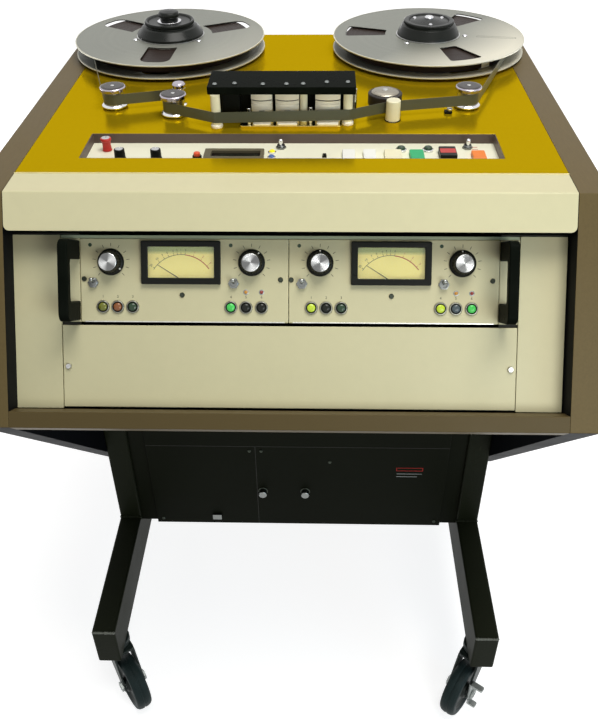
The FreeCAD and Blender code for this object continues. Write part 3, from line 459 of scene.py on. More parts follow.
def lathe(section, x=0.0, y=0.0, sides=64, flutes=None):
    """A turned shape from its half section, as radius and height. Flutes are count, depth, low and high."""
    shape = bmesh.new()
    rings = []
    for radius, z in section:
        if radius < 1e-6:
            rings.append([shape.verts.new((x, y, z))])
            continue
        row = []
        for i in range(sides):
            angle = math.tau * i / sides
            reach = radius
            if flutes and flutes[2] <= z <= flutes[3]:
                reach -= flutes[1] * (0.5 - 0.5 * math.cos(flutes[0] * angle)) ** 2
            row.append(shape.verts.new((x + reach * math.cos(angle), y + reach * math.sin(angle), z)))
        rings.append(row)
    pairs = list(zip(rings, rings[1:]))
    if len(rings[0]) > 1 and len(rings[-1]) > 1:
        pairs.append((rings[-1], rings[0]))
    for lower, upper in pairs:
        for i in range(sides):
            j = (i + 1) % sides
            corners = []
            for row, place in ((lower, i), (lower, j), (upper, j), (upper, i)):
                vert = row[place % len(row)]
                if vert not in corners:
                    corners.append(vert)
            if len(corners) > 2:
                shape.faces.new(corners)
    bmesh.ops.recalc_face_normals(shape, faces=shape.faces)
    return shape


def rounded_section(points, radius=0.4, steps=3):
    """A half section with its corners rounded, the ends on the axis left as they are."""
    result = []
    for index, (r, z) in enumerate(points):
        if index in (0, len(points) - 1):
            result.append((r, z))
            continue
        here = Vector((r, z))
        before = Vector(points[index - 1]) - here
        after = Vector(points[index + 1]) - here
        reach = min(radius, before.length * 0.45, after.length * 0.45)
        start, end = here + before.normalized() * reach, here + after.normalized() * reach
        for step in range(steps + 1):
            t = step / steps
            point = start * (1 - t) ** 2 + here * 2 * t * (1 - t) + end * t ** 2
            result.append((point.x, point.y))
    return result


def turned(points, rounding, x=0.0, y=0.0, sides=64, flutes=None, steps=3):
    """A turned shape whose half section has rounded corners."""
    return lathe(rounded_section(points, rounding, steps), x, y, sides, flutes)


def disc(radius, low, high, x, y, sides=24):
    """A plain cylinder."""
    return lathe([(0, low), (radius, low), (radius, high), (0, high)], x, y, sides)


def solids_of(node):
    """A node's solids, one after the other, as separate merged shapes in the deck's frame."""
    whole = shape_of(frame["nodes"][node].data)
    bmesh.ops.transform(whole, matrix=DECK.inverted(), verts=whole.verts)
    bmesh.ops.remove_doubles(whole, verts=whole.verts, dist=0.002)
    bmesh.ops.dissolve_limit(whole, angle_limit=math.radians(0.4), verts=whole.verts, edges=whole.edges)
    left = set(whole.faces)
    while left:
        queue = [left.pop()]
        solid = bmesh.new()
        verts = {}
        while queue:
            face = queue.pop()
            for vert in face.verts:
                if vert not in verts:
                    verts[vert] = solid.verts.new(vert.co)
            solid.faces.new([verts[vert] for vert in face.verts])
            for edge in face.edges:
                if len(edge.link_faces) == 2:
                    near = [other for other in edge.link_faces if other in left]
                    left.difference_update(near)
                    queue += near
        yield solid
    whole.free()


def soften(shape, width):
    """Round a shape's sharp edges."""
    limit = math.radians(40)
    edges = [e for e in shape.edges if len(e.link_faces) == 2 and e.calc_face_angle(0) > limit]
    bmesh.ops.bevel(shape, geom=edges, offset=width, offset_type="OFFSET", segments=2, profile=0.5,
                    affect="EDGES", clamp_overlap=False)
    return shape


def moved(shape, matrix):
    bmesh.ops.transform(shape, matrix=matrix, verts=shape.verts)
    if matrix.determinant() < 0:
        bmesh.ops.recalc_face_normals(shape, faces=shape.faces)
    return shape


MIRROR = Matrix.Diagonal((-1, 1, 1, 1))


def at(x, y, z=0.0):
    return Matrix.Translation((x, y, z))


def on_side(shape, side):
    """A shape of the right side, mirrored where it is for the left."""
    return moved(shape, MIRROR) if side < 0 else shape


def joined(first, second):
    """The first shape with the second in it."""
    mesh = bpy.data.meshes.new("shape")
    second.to_mesh(mesh)
    second.free()
    first.from_mesh(mesh)
    bpy.data.meshes.remove(mesh)
    return first


def lettering(text, size, x, y, z=0.0, lean=0.0):
    """A number as a thin raised shape, centred on a point and leaning by an angle in degrees."""
    curve = bpy.data.curves.new("number", "FONT")
    curve.body = text
    curve.size = size
    curve.align_x = "CENTER"
    curve.align_y = "CENTER"
    curve.resolution_u = 3
    curve.extrude = 0.02
    shape = evaluated(bpy.data.objects.new("number", curve))
    bmesh.ops.remove_doubles(shape, verts=shape.verts, dist=0.001)
    return moved(shape, at(x, y, z) @ spin(lean))


def arc_band(inner, outer, start, end, low, high):
    """A flat arc between two radii and two angles in degrees."""
    return plate([arc(outer, start, end, 32) + arc(inner, start, end, 32)[::-1]], low, high)


class Piece:
    """One piece in the making: shapes with their finishes, then its place and body. The slot given to make is
    not used.
    """

    def __init__(self, name, place=DECK):
        self.name = name
        self.place = place
        self.whole = bmesh.new()
        self.finishes = []

    def add(self, shape, look):
        """Add a shape in a finish, given by name, as a material, or by a function of each face."""
        for face in shape.faces:
            material = look(face) if callable(look) else look
            if isinstance(material, str):
                material = finish(material)
            if material not in self.finishes:
                self.finishes.append(material)
            face.material_index = self.finishes.index(material)
        joined(self.whole, shape)
        return self

    def make(self, slot, *replaces, body=BODY, smooth=42.0):
        """Finish the piece in its place, riding on its body in place of nodes of the construction."""
        bmesh.ops.transform(self.whole, matrix=self.place, verts=self.whole.verts)
        limit = math.radians(smooth)
        for edge in self.whole.edges:
            edge.smooth = len(edge.link_faces) != 2 or edge.calc_face_angle(0) < limit
        for face in self.whole.faces:
            face.smooth = True
        mesh = bpy.data.meshes.new(self.name)
        self.whole.to_mesh(mesh)
        self.whole.free()
        for material in self.finishes:
            mesh.materials.append(material)
        thing = bpy.data.objects.new(self.name, mesh)
        bpy.context.scene.collection.objects.link(thing)
        even = thing.modifiers.new("even normals", "WEIGHTED_NORMAL")
        even.keep_sharp = True
        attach(thing, body)
        if replaces:
            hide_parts(*replaces)


def joint_place(name):
    """The frame of a joint in millimetres: z along its axis, x level and to the right."""
    joint = JOINTS[name]
    axis = Vector(joint["axis"]).normalized()
    across = Vector((1, 0, 0)) if abs(axis.z) > 0.99 else Vector((0, 0, 1)).cross(axis).normalized()
    up = axis.cross(across)
    frame_turn = Matrix((across, up, axis)).transposed().to_4x4()
    return Matrix.Translation(joint["pos_m"]) @ frame_turn @ Matrix.Scale(MM, 4)


def dress(node, name):
    """Give a node of the construction its finish."""
    frame["nodes"][node].material_slots[0].material = finish(name)


# Trees of Geometry Nodes

def node_tree(name, **inputs):
    """A geometry tree with sockets for its inputs and its finish; its input sockets and output node."""
    tree = bpy.data.node_groups.new(name, "GeometryNodeTree")
    tree.interface.new_socket("Geometry", in_out="INPUT", socket_type="NodeSocketGeometry")
    for label, value in inputs.items():
        kind = "NodeSocketInt" if isinstance(value, int) else "NodeSocketFloat"
        tree.interface.new_socket(label, in_out="INPUT", socket_type=kind).default_value = value
    tree.interface.new_socket("Finish", in_out="INPUT", socket_type="NodeSocketMaterial")
    tree.interface.new_socket("Geometry", in_out="OUTPUT", socket_type="NodeSocketGeometry")
    return tree, tree.nodes.new("NodeGroupInput").outputs, tree.nodes.new("NodeGroupOutput")


def tree_node(tree, kind, settings=None, **links):
    """Add a node; each link or value is given by its socket's name with underscores for spaces."""
    node = tree.nodes.new(kind)
    for key, value in (settings or {}).items():
        setattr(node, key, value)
    for key, value in links.items():
        socket = node.inputs[key.replace("_", " ")]
        if isinstance(value, bpy.types.NodeSocket):
            tree.links.new(value, socket)
        else:
            socket.default_value = value
    return node


def scattered(tree, value, result, instance, **turns):
    """End a tree: the instance on every point, made real and given its material."""
    many = tree_node(tree, "GeometryNodeInstanceOnPoints", Points=value["Geometry"], Instance=instance,
                     **turns)
    real = tree_node(tree, "GeometryNodeRealizeInstances", Geometry=many.outputs[0])
    done = tree_node(tree, "GeometryNodeSetMaterial", Geometry=real.outputs[0], Material=value["Finish"])
    tree.links.new(done.outputs[0], result.inputs[0])
    return tree


def grown(tree, points, values):
    """Run a tree on loose points and give the result as a bmesh."""
    mesh = bpy.data.meshes.new("points")
    mesh.from_pydata(points, [], [])
    thing = bpy.data.objects.new("points", mesh)
    modifier = thing.modifiers.new("growth", "NODES")
    modifier.node_group = tree
    for item in tree.interface.items_tree:
        if item.in_out == "INPUT" and item.name in values:
            modifier[item.identifier] = values[item.name]
    return evaluated(thing)


def screw_tree():
    """Screw heads on points: a domed head with a driving slot cut into it, each turned its own way."""
    tree, value, result = node_tree("screw heads", Radius=3.2, Height=1.6, Slot=0.9, Seed=7)

    def times(socket, share):
        node = tree_node(tree, "ShaderNodeMath", {"operation": "MULTIPLY"})
        tree.links.new(socket, node.inputs[0])
        node.inputs[1].default_value = share
        return node.outputs[0]

    radius, height = value["Radius"], value["Height"]
    head = tree_node(tree, "GeometryNodeMeshCone", Vertices=20, Radius_Bottom=radius,
                     Radius_Top=times(radius, 0.72), Depth=height)
    size = tree_node(tree, "ShaderNodeCombineXYZ", X=times(radius, 3.0), Y=value["Slot"], Z=height)
    cutter = tree_node(tree, "GeometryNodeMeshCube", Size=size.outputs[0])
    lift = tree_node(tree, "ShaderNodeCombineXYZ", Z=times(height, 1.05)).outputs[0]
    raised = tree_node(tree, "GeometryNodeTransform", Geometry=cutter.outputs[0], Translation=lift)
    cut = tree_node(tree, "GeometryNodeMeshBoolean", {"operation": "DIFFERENCE", "solver": "EXACT"},
                    Mesh_1=head.outputs["Mesh"])
    tree.links.new(raised.outputs[0], cut.inputs["Mesh 2"])
    angle = tree_node(tree, "FunctionNodeRandomValue", {"data_type": "FLOAT"}, Seed=value["Seed"])
    angle.inputs[3].default_value = 3.14
    euler = tree_node(tree, "ShaderNodeCombineXYZ", Z=angle.outputs[1])
    return scattered(tree, value, result, cut.outputs[0], Rotation=euler.outputs[0])


def tick_tree():
    """Marks on points of an arc, each turned to point at its middle."""
    tree, value, result = node_tree("dial marks", Length=2.0, Width=0.5, Height=0.05)
    size = tree_node(tree, "ShaderNodeCombineXYZ", X=value["Length"], Y=value["Width"], Z=value["Height"])
    mark = tree_node(tree, "GeometryNodeMeshCube", Size=size.outputs[0])
    place = tree_node(tree, "GeometryNodeInputPosition").outputs[0]
    facing = tree_node(tree, "FunctionNodeAlignRotationToVector", {"axis": "X"}, Vector=place)
    return scattered(tree, value, result, mark.outputs[0], Rotation=facing.outputs[0])


def screws(points, radius, height, slot, seed):
    return grown(screw_tree(), points, {"Radius": radius, "Height": height, "Slot": slot, "Seed": seed})


# Finishes that more than one piece shares, made once when first asked for

FINISHES = {}


def finish(name):
    """A shared finish by name."""
    if name not in FINISHES:
        maker, *values = FINISH_ROWS[name]
        if maker in PLAIN_FINISHES:
            base, amount, *options = values
            FINISHES[name] = maker(name, base_colour(base), amount, **dict(*options))
        else:
            FINISHES[name] = maker(name, *values)
    return FINISHES[name]


def base_colour(value):
    """A colour from its screen value, from its numbers, or from a share of a colour of the user's."""
    if isinstance(value, str):
        return colour(value)
    return own_colour(*value) if isinstance(value[0], str) else value


def own_colour(name, share):
    """A colour of the user's, made darker or lighter."""
    return shade(getattr(bpy.context.scene.recorder_colours, name), share)


def board_laminate(name):
    """Printed laminate: a short grain along the board, a woven fleck and slow patches."""
    shader = Shader(name)
    here = shader.here()
    grain = shader.noise(shader.scaled(here, (400, 60, 400)), 1.0, 4.0)
    fleck = shader.noise(here, 520.0, 2.0)
    patch = shader.noise(here, 7.0, 3.0)
    tone = grain * 0.45 + fleck * 0.25 + patch * 0.3
    base = shader.blend(tone, own_colour("taupe", 0.72), own_colour("taupe", 1.25))
    rubbed = shader.spread(patch, 0.38, 0.52)
    return shader.surface(base_color=base, roughness=rubbed, specular_ior_level=0.15,
                          normal=shader.bump(grain * 0.5 + fleck * 0.5, 0.12))


def deck_gold(name):
    """Gloss paint on the deck, with a fine skin and a warm shine."""
    shader = Shader(name)
    here = shader.here()
    cloud = shader.noise(here, 4.0, 3.0)
    speck = shader.noise(here, 260.0, 2.0)
    base = shader.blend(cloud * 0.6 + speck * 0.4, own_colour("gold", 0.9), own_colour("gold", 1.1))
    skin = shader.bump(shader.noise(here, 500.0, 1.0), 0.03)
    return shader.surface(base_color=base, metallic=0.6, roughness=shader.spread(cloud, 0.13, 0.22),
                          specular_ior_level=0.0, specular_tint=(1.0, 0.8, 0.1), normal=skin)


def tape_oxide(name):
    """The open tape: smooth brown oxide with faint lines along it."""
    shader = Shader(name)
    here = shader.here()
    lines = shader.line_noise(shader.part(here, "Z"), 2400.0)
    base = shader.blend(lines, own_colour("tape", 0.8), own_colour("tape", 1.2))
    return shader.surface(base_color=base, roughness=0.34, normal=shader.bump(lines, 0.05))


def pack_side(name, x):
    """The side of a tape pack: the edges of its turns as fine rings, and strands that stand proud."""
    shader = Shader(name)
    centre = DECK @ Matrix.Translation((x, REEL_BACK, 0))
    radius = shader.distance(shader.local(centre))
    fine = shader.line_noise(radius, 6000.0, 2.0)
    broad = shader.line_noise(radius, 420.0, 3.0)
    turns = fine * 0.4 + broad * 0.6
    base = shader.blend(turns, (0.008, 0.004, 0.003), (0.034, 0.020, 0.014))
    return shader.surface(base_color=base, roughness=shader.spread(broad, 0.3, 0.5), specular_ior_level=0.12,
                          normal=shader.bump(turns, 0.35, 0.0004))


def reel_silver(name, x, glare):
    """Spun aluminium of a reel flange: fine rings, wide bands and a few scuffs, with a warm painted glare at
    the front, a painted highlight on the rim and painted shade on the window walls.
    """
    shader = Shader(name)
    place = DECK @ Matrix.Translation((x, REEL_BACK, 0))
    local = shader.local(place)
    radius = shader.distance(local)
    ring = shader.line_noise(radius, 5200.0, 3.0)
    band = shader.line_noise(radius, 160.0, 2.0)
    scuff = shader.noise(shader.scaled(local, (30, 30, 30)), 1.0, 4.0, 0.6)
    tone = ring * 0.35 + band * 0.35 + scuff * 0.3
    height = shader.part(local, "Z")
    # Painted shade: the top flange's window walls and underside, inside the rim, are darkened.
    wall = shader.window(height, (REEL_TOP - 0.4) * MM, (REEL_TOP - 0.15) * MM, 1.0, 0.0)
    wall = wall * shader.window(radius, 0.124, 0.125, 1.0, 0.0) * (height > (REEL_TOP - FLANGE - 0.5) * MM)
    # Painted highlight: a pale band along the rim.
    rim = shader.window(radius, (REEL_RADIUS - 1.8) * MM, (REEL_RADIUS - 1.2) * MM)
    base = shader.blend(tone, (0.17, 0.178, 0.148), (0.30, 0.305, 0.265))
    # Painted highlight: a warm glare towards the front, as strong as the glare value.
    bright = shader.window(shader.facing(local, -42), 0.1, 1.0, 0.0, glare)
    base = shader.blend(bright * shader.window(radius, 0.04, 0.12), base, (0.80, 0.76, 0.62))
    base = shader.blend(rim, base, (0.70, 0.68, 0.56))
    base = shader.blend(wall, base, (0.02, 0.016, 0.012))
    return shader.surface(base_color=base, metallic=0.35, roughness=shader.spread(tone, 0.36, 0.52),
                          normal=shader.bump(ring, 0.16, 0.0004))


def meter_glass(name):
    """Clear glass with faint smears."""
    shader = Shader(name)
    smear = shader.noise(shader.here(), 60.0, 3.0)
    return shader.surface(base_color=(0.97, 1.0, 0.97), transmission_weight=1.0, ior=1.46,
                          roughness=shader.spread(smear, 0.0, 0.04))


def meter_paper(name):
    """The printed scale: warm paper, with painted green shade under the top of its bezel and a faint painted
    glow.
    """
    shader = Shader(name)
    local = shader.local(FRONT)
    height = shader.part(local, "Y")
    top = -(RACK_TOP + 2.1 + 6.3) * MM
    # Painted shade: the paper turns green under the bezel's top.
    shaded = shader.window(height, top - 8.0 * MM, top - 4.0 * MM)
    grain = shader.noise(local, 900.0, 2.0)
    paper = shader.blend(grain, colour("ECD77C"), colour("F0DF90"))
    base = shader.blend(shaded * 0.9, paper, colour("8D9A5C"))
    # A faint painted glow in the paper's own colour.
    return shader.surface(base_color=base, roughness=0.6, emission_color=base, emission_strength=0.12)


def worn_black(name, gloss):
    """Black lacquer, rubbed to a soft shine where hands go."""
    shader = Shader(name)
    here = shader.here()
    rub = shader.noise(here, 35.0, 4.0, 0.6)
    base = shader.blend(rub, (0.002, 0.003, 0.002), (0.009, 0.011, 0.008))
    return shader.surface(base_color=base, roughness=shader.spread(rub, 0.18, 0.4), specular_ior_level=gloss,
                          normal=shader.bump(shader.noise(here, 800.0, 2.0), 0.06))


def stand_paint(name):
    """Thick dark paint on welded steel, with pinholes, scuffs and dust in its skin."""
    shader = Shader(name)
    here = shader.here()
    cloud = shader.noise(here, 9.0, 4.0, 0.6)
    speck = shader.noise(here, 420.0, 2.0)
    scuffs = shader.noise(shader.scaled(here, (60, 60, 14)), 1.0, 4.0, 0.7) > 0.69
    base = shader.blend(cloud * 0.7 + speck * 0.3, own_colour("stand", 0.62), own_colour("stand", 1.3))
    base = shader.blend(scuffs * 0.3, base, own_colour("stand", 2.6))
    return shader.surface(base_color=base, roughness=shader.spread(cloud, 0.4, 0.6), specular_ior_level=0.05,
                          normal=shader.bump(shader.noise(here, 380.0, 3.0), 0.18))


def tyre_rubber(name):
    """Hard rubber with dust in it and a fine grain."""
    shader = Shader(name)
    here = shader.here()
    dust = shader.noise(here, 45.0, 4.0, 0.65)
    fine = shader.noise(here, 700.0, 2.0)
    base = shader.blend(dust * 0.7 + fine * 0.3, (0.003, 0.006, 0.006), (0.022, 0.038, 0.038))
    return shader.surface(base_color=base, roughness=shader.spread(dust, 0.42, 0.66), specular_ior_level=0.12,
                          normal=shader.bump(fine, 0.25))


def lens(name, base, glow=0.0, gloss=0.4):
    """A coloured lens with a soft ripple, lit from behind where it glows."""
    shader = Shader(name)
    ripple = shader.noise(shader.here(), 700.0, 2.0)
    tone = shader.blend(ripple, shade(base, 0.7), shade(base, 1.25))
    return shader.surface(base_color=tone, roughness=0.16, specular_ior_level=gloss, emission_color=tone,
                          emission_strength=glow, normal=shader.bump(ripple, 0.12))


# Plain finishes by kind: base colour, roughness or a lens's glow, and other values of the kind
PLAIN_FINISHES = {
    enamel: {
        "rail taupe": (("taupe", 0.72), 0.42, {"gloss": 0.12}),
        # Near-black for the boards' inner faces and the tray, painted shade for the boards' downward faces.
        "inner board": ("0B0C0F", 0.5, {"variation": 0.25, "gloss": 0.03}),
        "nose cream": (("cream", 1.12), 0.36),
        "panel cream": (("cream", 1.0), 0.4, {"depth": 0.08}),
        "pan cream": ("FFFBE0", 0.4),
        "pan wall": ("5E5048", 0.42, {"variation": 0.18}),
        # A painted highlight for the deck's front edge.
        "deck lip": ("EADFA8", 0.2, {"variation": 0.04}),
        "black iron": ("15160F", 0.5, {"variation": 0.2, "gloss": 0.2}),
        "red mark": ("B92B22", 0.45),
        "circuit green": ("2E4A2C", 0.5),
        # Painted shade for the fold over the plates' top, under the nose.
        "lip grey": ("AFB89B", 0.45),
        "caster core": ("161E1B", 0.45, {"variation": 0.25, "gloss": 0.2}),
        "caster steel": ("1E2724", 0.42, {"variation": 0.3, "gloss": 0.3}),
        "chassis paint": (("stand", 0.62), 0.45, {"variation": 0.25, "gloss": 0.04}),
    },
    plastic: {
        "display case": ("67604C", 0.45, {"gloss": 0.2}),
        "bright red plastic": ("EE5A34", 0.3),
        "black plastic": ("121410", 0.3, {"gloss": 0.14}),
        "soft black": ("0E100B", 0.5, {"gloss": 0.08}),
        "red plastic": ("C8332C", 0.3),
        "white plastic": ("FFFFF6", 0.3, {"variation": 0.01}),
        "cream plastic": ("FBF3D0", 0.3),
        "green plastic": ("15B36F", 0.3),
        "orange plastic": ("F98200", 0.3),
        "ceramic": ("F4EDCB", 0.2, {"variation": 0.03}),
        "head cream": ("FBF2DC", 0.28, {"variation": 0.05}),
        "ink black": ("15150F", 0.6),
        "ink red": ("B4231A", 0.6),
        "pale mark": ("E8E6DA", 0.5),
        "panel mark": ("2F2F25", 0.6),
        "roller cap": ("2C2625", 0.22, {"variation": 0.15}),
        "pinch rubber": ("2E2A27", 0.55, {"variation": 0.2}),
    },
    polished: {
        "chrome": ((0.80, 0.80, 0.82), 0.12),
        "steel": ((0.56, 0.56, 0.55), 0.28),
        "gold base": ((0.86, 0.70, 0.26), 0.12),
        "zinc": ((0.30, 0.32, 0.31), 0.36),
        "dull steel": ((0.24, 0.25, 0.24), 0.2),
        # A painted highlight for the module plates' bottom bend.
        "bright edge": ((0.68, 0.68, 0.63), 0.25),
        "dark zinc": ((0.06, 0.07, 0.055), 0.3),
        "violet chrome": ((0.50, 0.46, 0.52), 0.16),
        "dark chrome": ((0.34, 0.31, 0.25), 0.26),
        "ring grey": ((0.30, 0.30, 0.255), 0.26),
        "worn weld": ((0.10, 0.105, 0.09), 0.4),
    },
    lens: {
        "dark window": ((0.006, 0.004, 0.004), 0.0),
        "yellow lens": ("F2DC22", 0.5),
        "blue lens": ("5A78B8", 0.1),
        "smoke lens": ("1C1F18", 0.0, {"gloss": 0.25}),
        "lit green lens": ("3FB84E", 0.35),
        "lit lime lens": ("B2C832", 0.35),
        "olive lens": ("737628", 0.05),
        "amber lens": ("8E5630", 0.05),
        "dark green lens": ("27432A", 0.0),
        "slate lens": ("4B585C", 0.03),
        "amber lamp": ("C98A2A", 0.15),
        "red lamp": ("8E2A20", 0.05),
    },
}

# Every finish by name, with the function that makes it and what that takes
FINISH_ROWS = {
    "board laminate": (board_laminate,),
    "deck gold": (deck_gold,),
    "tape oxide": (tape_oxide,),
    "supply pack side": (pack_side, -REEL_X),
    "take-up pack side": (pack_side, REEL_X),
    # A reel's last value is the strength of its painted glare.
    "supply reel silver": (reel_silver, -REEL_X, 0.25),
    "take-up reel silver": (reel_silver, REEL_X, 1.0),
    "meter glass": (meter_glass,),
    "meter paper": (meter_paper,),
    "worn black": (worn_black, 0.005),
    "hub black": (worn_black, 0.22),
    "stand paint": (stand_paint,),
    "tyre rubber": (tyre_rubber,),
}
for maker, rows in PLAIN_FINISHES.items():
    FINISH_ROWS.update({name: (maker, *row) for name, row in rows.items()})


# Cabinet

def side_outline():
    """A side board's outline: flat top, front leaning forward, underside running back and down."""
    lean = math.radians(FRONT_LEAN)
    prow = (-FRONT_SLOPE * math.sin(lean), -FRONT_SLOPE * math.cos(lean))
    heel = prow[0] + (BOARD_HEIGHT + prow[1]) / math.tan(math.radians(UNDERSIDE_ANGLE))
    corners = ((0, 0), prow, (heel, -BOARD_HEIGHT), (BODY_DEPTH, -BOARD_HEIGHT), (BODY_DEPTH, 0))
    return outline([(*corner, 1.5) for corner in corners], 3)


def board_face(normal, side):
    """Near-black on the faces that look inward, painted shade on the faces that look down, and laminate on
    the rest.
    """
    return "inner board" if normal.x * side < -0.9 or normal.z < -0.25 else "board laminate"


class RECORDER_OT_boards(bpy.types.Operator):
    """Make the two laminated side boards, dark on their inner faces."""
    bl_idname = "recorder.boards"
    bl_label = "Side boards"

    def execute(self, context):
        edge = context.scene.recorder_sizes.edge_round * 2
        boards = Piece("side_boards")
        for side in (1, -1):
            shape = on_side(side_plate([side_outline()], INNER_HALF, OUTER_HALF, edge), side)
            boards.add(shape, lambda face, side=side: board_face(face.normal, side))
        boards.make("board_laminate", "side_panels")
        return {"FINISHED"}


class RECORDER_OT_rails(bpy.types.Operator):
    """Make the rails, tray and stretcher between the boards, and the vented back."""
    bl_idname = "recorder.rails"
    bl_label = "Rails and back"

    def execute(self, context):
        edge = context.scene.recorder_sizes.edge_round
        depth = 22.0
        low = FRONT_SLOPE + depth * math.tan(math.radians(UNDERSIDE_ANGLE - FRONT_LEAN))
        corners = ((-227, 0), (-FRONT_SLOPE, 0), (-low, -depth), (-227, -depth))
        section = outline([(*corner, 0.8) for corner in corners], 3)
        rail = side_plate([section], -INNER_HALF, INNER_HALF, 0.3)
        Piece("bottom_rail", FRONT).add(rail, "rail taupe").make("frame_taupe")
        rails = Piece("cabinet_frame")
        rails.add(bar(-INNER_HALF, INNER_HALF, -112, 516, -223.5, -221, edge), "inner board")
        rails.add(bar(-INNER_HALF, INNER_HALF, 492, 516, -618, -578, edge), "rail taupe")
        rails.make("frame_taupe", "cabinet_rails")
        behind = Piece("rack_rails", FRONT)
        for ends in two_sides(222.0, INNER_HALF):
            behind.add(bar(*ends, -227, -40, PANEL_BACK - 3, PANEL_BACK, edge), "black iron")
        behind.make("frame_taupe")
        slots = [box_outline(step * 44.0 - 3, step * 44.0 + 3, row - 24, row + 24, 2.5)
                 for row in (-78.0, -158.0) for step in range(-5, 6)]
        loops = [box_outline(-INNER_HALF, INNER_HALF, -223.5, -3, 1.0)] + slots
        back = Piece("rear_panel_sheet").add(upright_plate(loops, 516, 519, 0.4), "rail taupe")
        places = [(x, z, 519.0) for x in (-280, -95, 95, 280) for z in (-14, -212)]
        back.add(moved(screws(places, 3.6, 1.8, 1.0, 3), FACING @ spin(180, "Y")), "steel")
        back.make("frame_taupe", "rear_panel")
        return {"FINISHED"}


class RECORDER_OT_nose(bpy.types.Operator):
    """Make the bent nose panel and the two filler strips beside the rack opening."""
    bl_idname = "recorder.nose"
    bl_label = "Nose panel"

    def execute(self, context):
        nose = Piece("nose_sheet")
        for solid in solids_of("nose_panel"):
            wide = max(v.co.x for v in solid.verts) - min(v.co.x for v in solid.verts)
            nose.add(soften(solid, 0.35), "nose cream" if wide > 300 else "panel cream")
        nose.make("cream_paint", "nose_panel")
        return {"FINISHED"}


# Deck

PINCH = spot("pinch_spin")
PINCH_PIVOT = spot("pinch_swing")
CAPSTAN = spot("capstan_spin")
PINCH_SWING = 14.4
LIFTERS = ((-51.0, 169.5), (20.5, 173.0))


def pinch_slot():
    """The curved slot in which the pinch roller's pin swings."""
    arm = Vector(PINCH) - Vector(PINCH_PIVOT)
    start = math.degrees(math.atan2(arm.y, arm.x))
    outer, inner = (arc(arm.length + half, start, start + PINCH_SWING, 6) for half in (4.8, -4.8))
    return [(PINCH_PIVOT[0] + x, PINCH_PIVOT[1] + y) for x, y in outer + inner[::-1]]


def lifter_slots():
    return [box_outline(x - 2.4, x + 2.4, y - 2.4, y + 7.4, 1.5) for x, y in LIFTERS]


class RECORDER_OT_deck(bpy.types.Operator):
    """Make the gold deck plate with its openings and the pale lip along its front edge, whose colour is a
    painted highlight.
    """
    bl_idname = "recorder.deck"
    bl_label = "Deck plate"

    def execute(self, context):
        edge = context.scene.recorder_sizes.edge_round
        loops = [
            box_outline(-INNER_HALF, INNER_HALF, NOSE_DEPTH, BODY_DEPTH, 0.6),
            box_outline(-PAN_HALF, PAN_HALF, PAN_FRONT, PAN_BACK, 0.8),
            circle(9, -REEL_X, REEL_BACK), circle(9, REEL_X, REEL_BACK), circle(9.5, *CAPSTAN), pinch_slot(),
        ]
        deck = Piece("deck_sheet").add(plate(loops + lifter_slots(), -3, 0, edge), "deck gold")
        # The pale lip is a painted highlight of the plate's front edge.
        deck.add(bar(-INNER_HALF, INNER_HALF, NOSE_DEPTH - 1.1, NOSE_DEPTH + 0.2, -0.6, 0.9, 0.4), "deck lip")
        pin = [(0, -18), (7, -18), (7, -16), (4, -16), (4, -3), (0, -3)]
        deck.add(lathe(pin, *PINCH_PIVOT, sides=32), "steel")
        deck.make("gold_paint", "deck_plate")
        dress("drive_motors", "black iron")
        return {"FINISHED"}


# Control pan

TOGGLE_LINE = 134.0
STRIP_TOGGLES = (-12.8, 199.6)
PAN_KNOBS = {name: spot(name + "_turn") for name in ("power_knob", "speed_knob", "size_knob")}
RESET_BUTTON = (-106.0, 107.0)
SLIDE_SWITCH = (36.9, 113.0)
# Buttons by left, right, front, back and top, and the single ones by their plastic
PUSH_BUTTONS = {
    ("cream_button", "cream"): (104.0, 123.4, 97.0, 121.7, -7.0),
    ("play_button", "green"): (132.5, 148.0, 97.0, 121.6, -7.0),
    ("record_button", "black"): (165.3, 184.3, 101.0, 125.6, -5.0),
    ("stop_button", "orange"): (201.5, 216.3, 95.0, 119.3, -7.0),
}
WIND_BUTTONS = ((56.8, 71.2, 97.0, 122.1, -7.0), (80.4, 94.5, 97.0, 122.1, -7.0))
# Lamps by place, radius, rise and lens
PAN_LAMPS = (
    (-22.3, 120.8, 3.4, 3.5, "yellow lens"), (-22.3, 107.0, 3.4, 3.5, "blue lens"),
    (123.7, 126.6, 5.0, 5.5, "dark green lens"), (154.1, 126.6, 5.0, 5.5, "dark green lens"),
)


def hexagon(radius, low, high):
    return plate([circle(radius, count=6)], low, high, 0.3)


def bushing(piece, x, y, z):
    """A hexagon nut and threaded collar round a toggle lever."""
    threads = [(4.6, 2.0)]
    for step in range(4):
        threads += [(4.6, 2.1 + step * 0.5), (4.25, 2.35 + step * 0.5)]
    threads += [(4.4, 4.2), (3.4, 4.2), (3.2, -2.0), (4.6, -2.0)]
    for shape in (hexagon(6.0, 0, 2.0), lathe(threads, sides=32)):
        piece.add(moved(shape, at(x, y, z)), "dull steel")


def pan_outline(grow, radius=0.0):
    """The pan's outline, grown all round."""
    return box_outline(-PAN_HALF - grow, PAN_HALF + grow, PAN_FRONT - grow, PAN_BACK + grow, radius)


def counter(pan):
    """The counter: a bevelled case round a sunk dark window with five blank wheels behind it."""
    left, right, front, back = -98.0, -31.0, 95.0, 121.0
    loops = [box_outline(left, right, front, back, 1.5),
             box_outline(left + 8, right - 4, front + 5, back - 6, 0.8)]
    pan.add(plate(loops, PAN_FLOOR, -6, 0.6), "display case")
    pan.add(bar(left + 7.5, right - 3.5, front + 4.5, back - 5.5, PAN_FLOOR, -9.4, 0.2), "dark window")
    for step in range(5):
        x = left + 17 + step * 9.0
        pan.add(bar(x, x + 7.6, front + 7.5, back - 8.5, -9.4, -8.8, 0.25), "smoke lens")


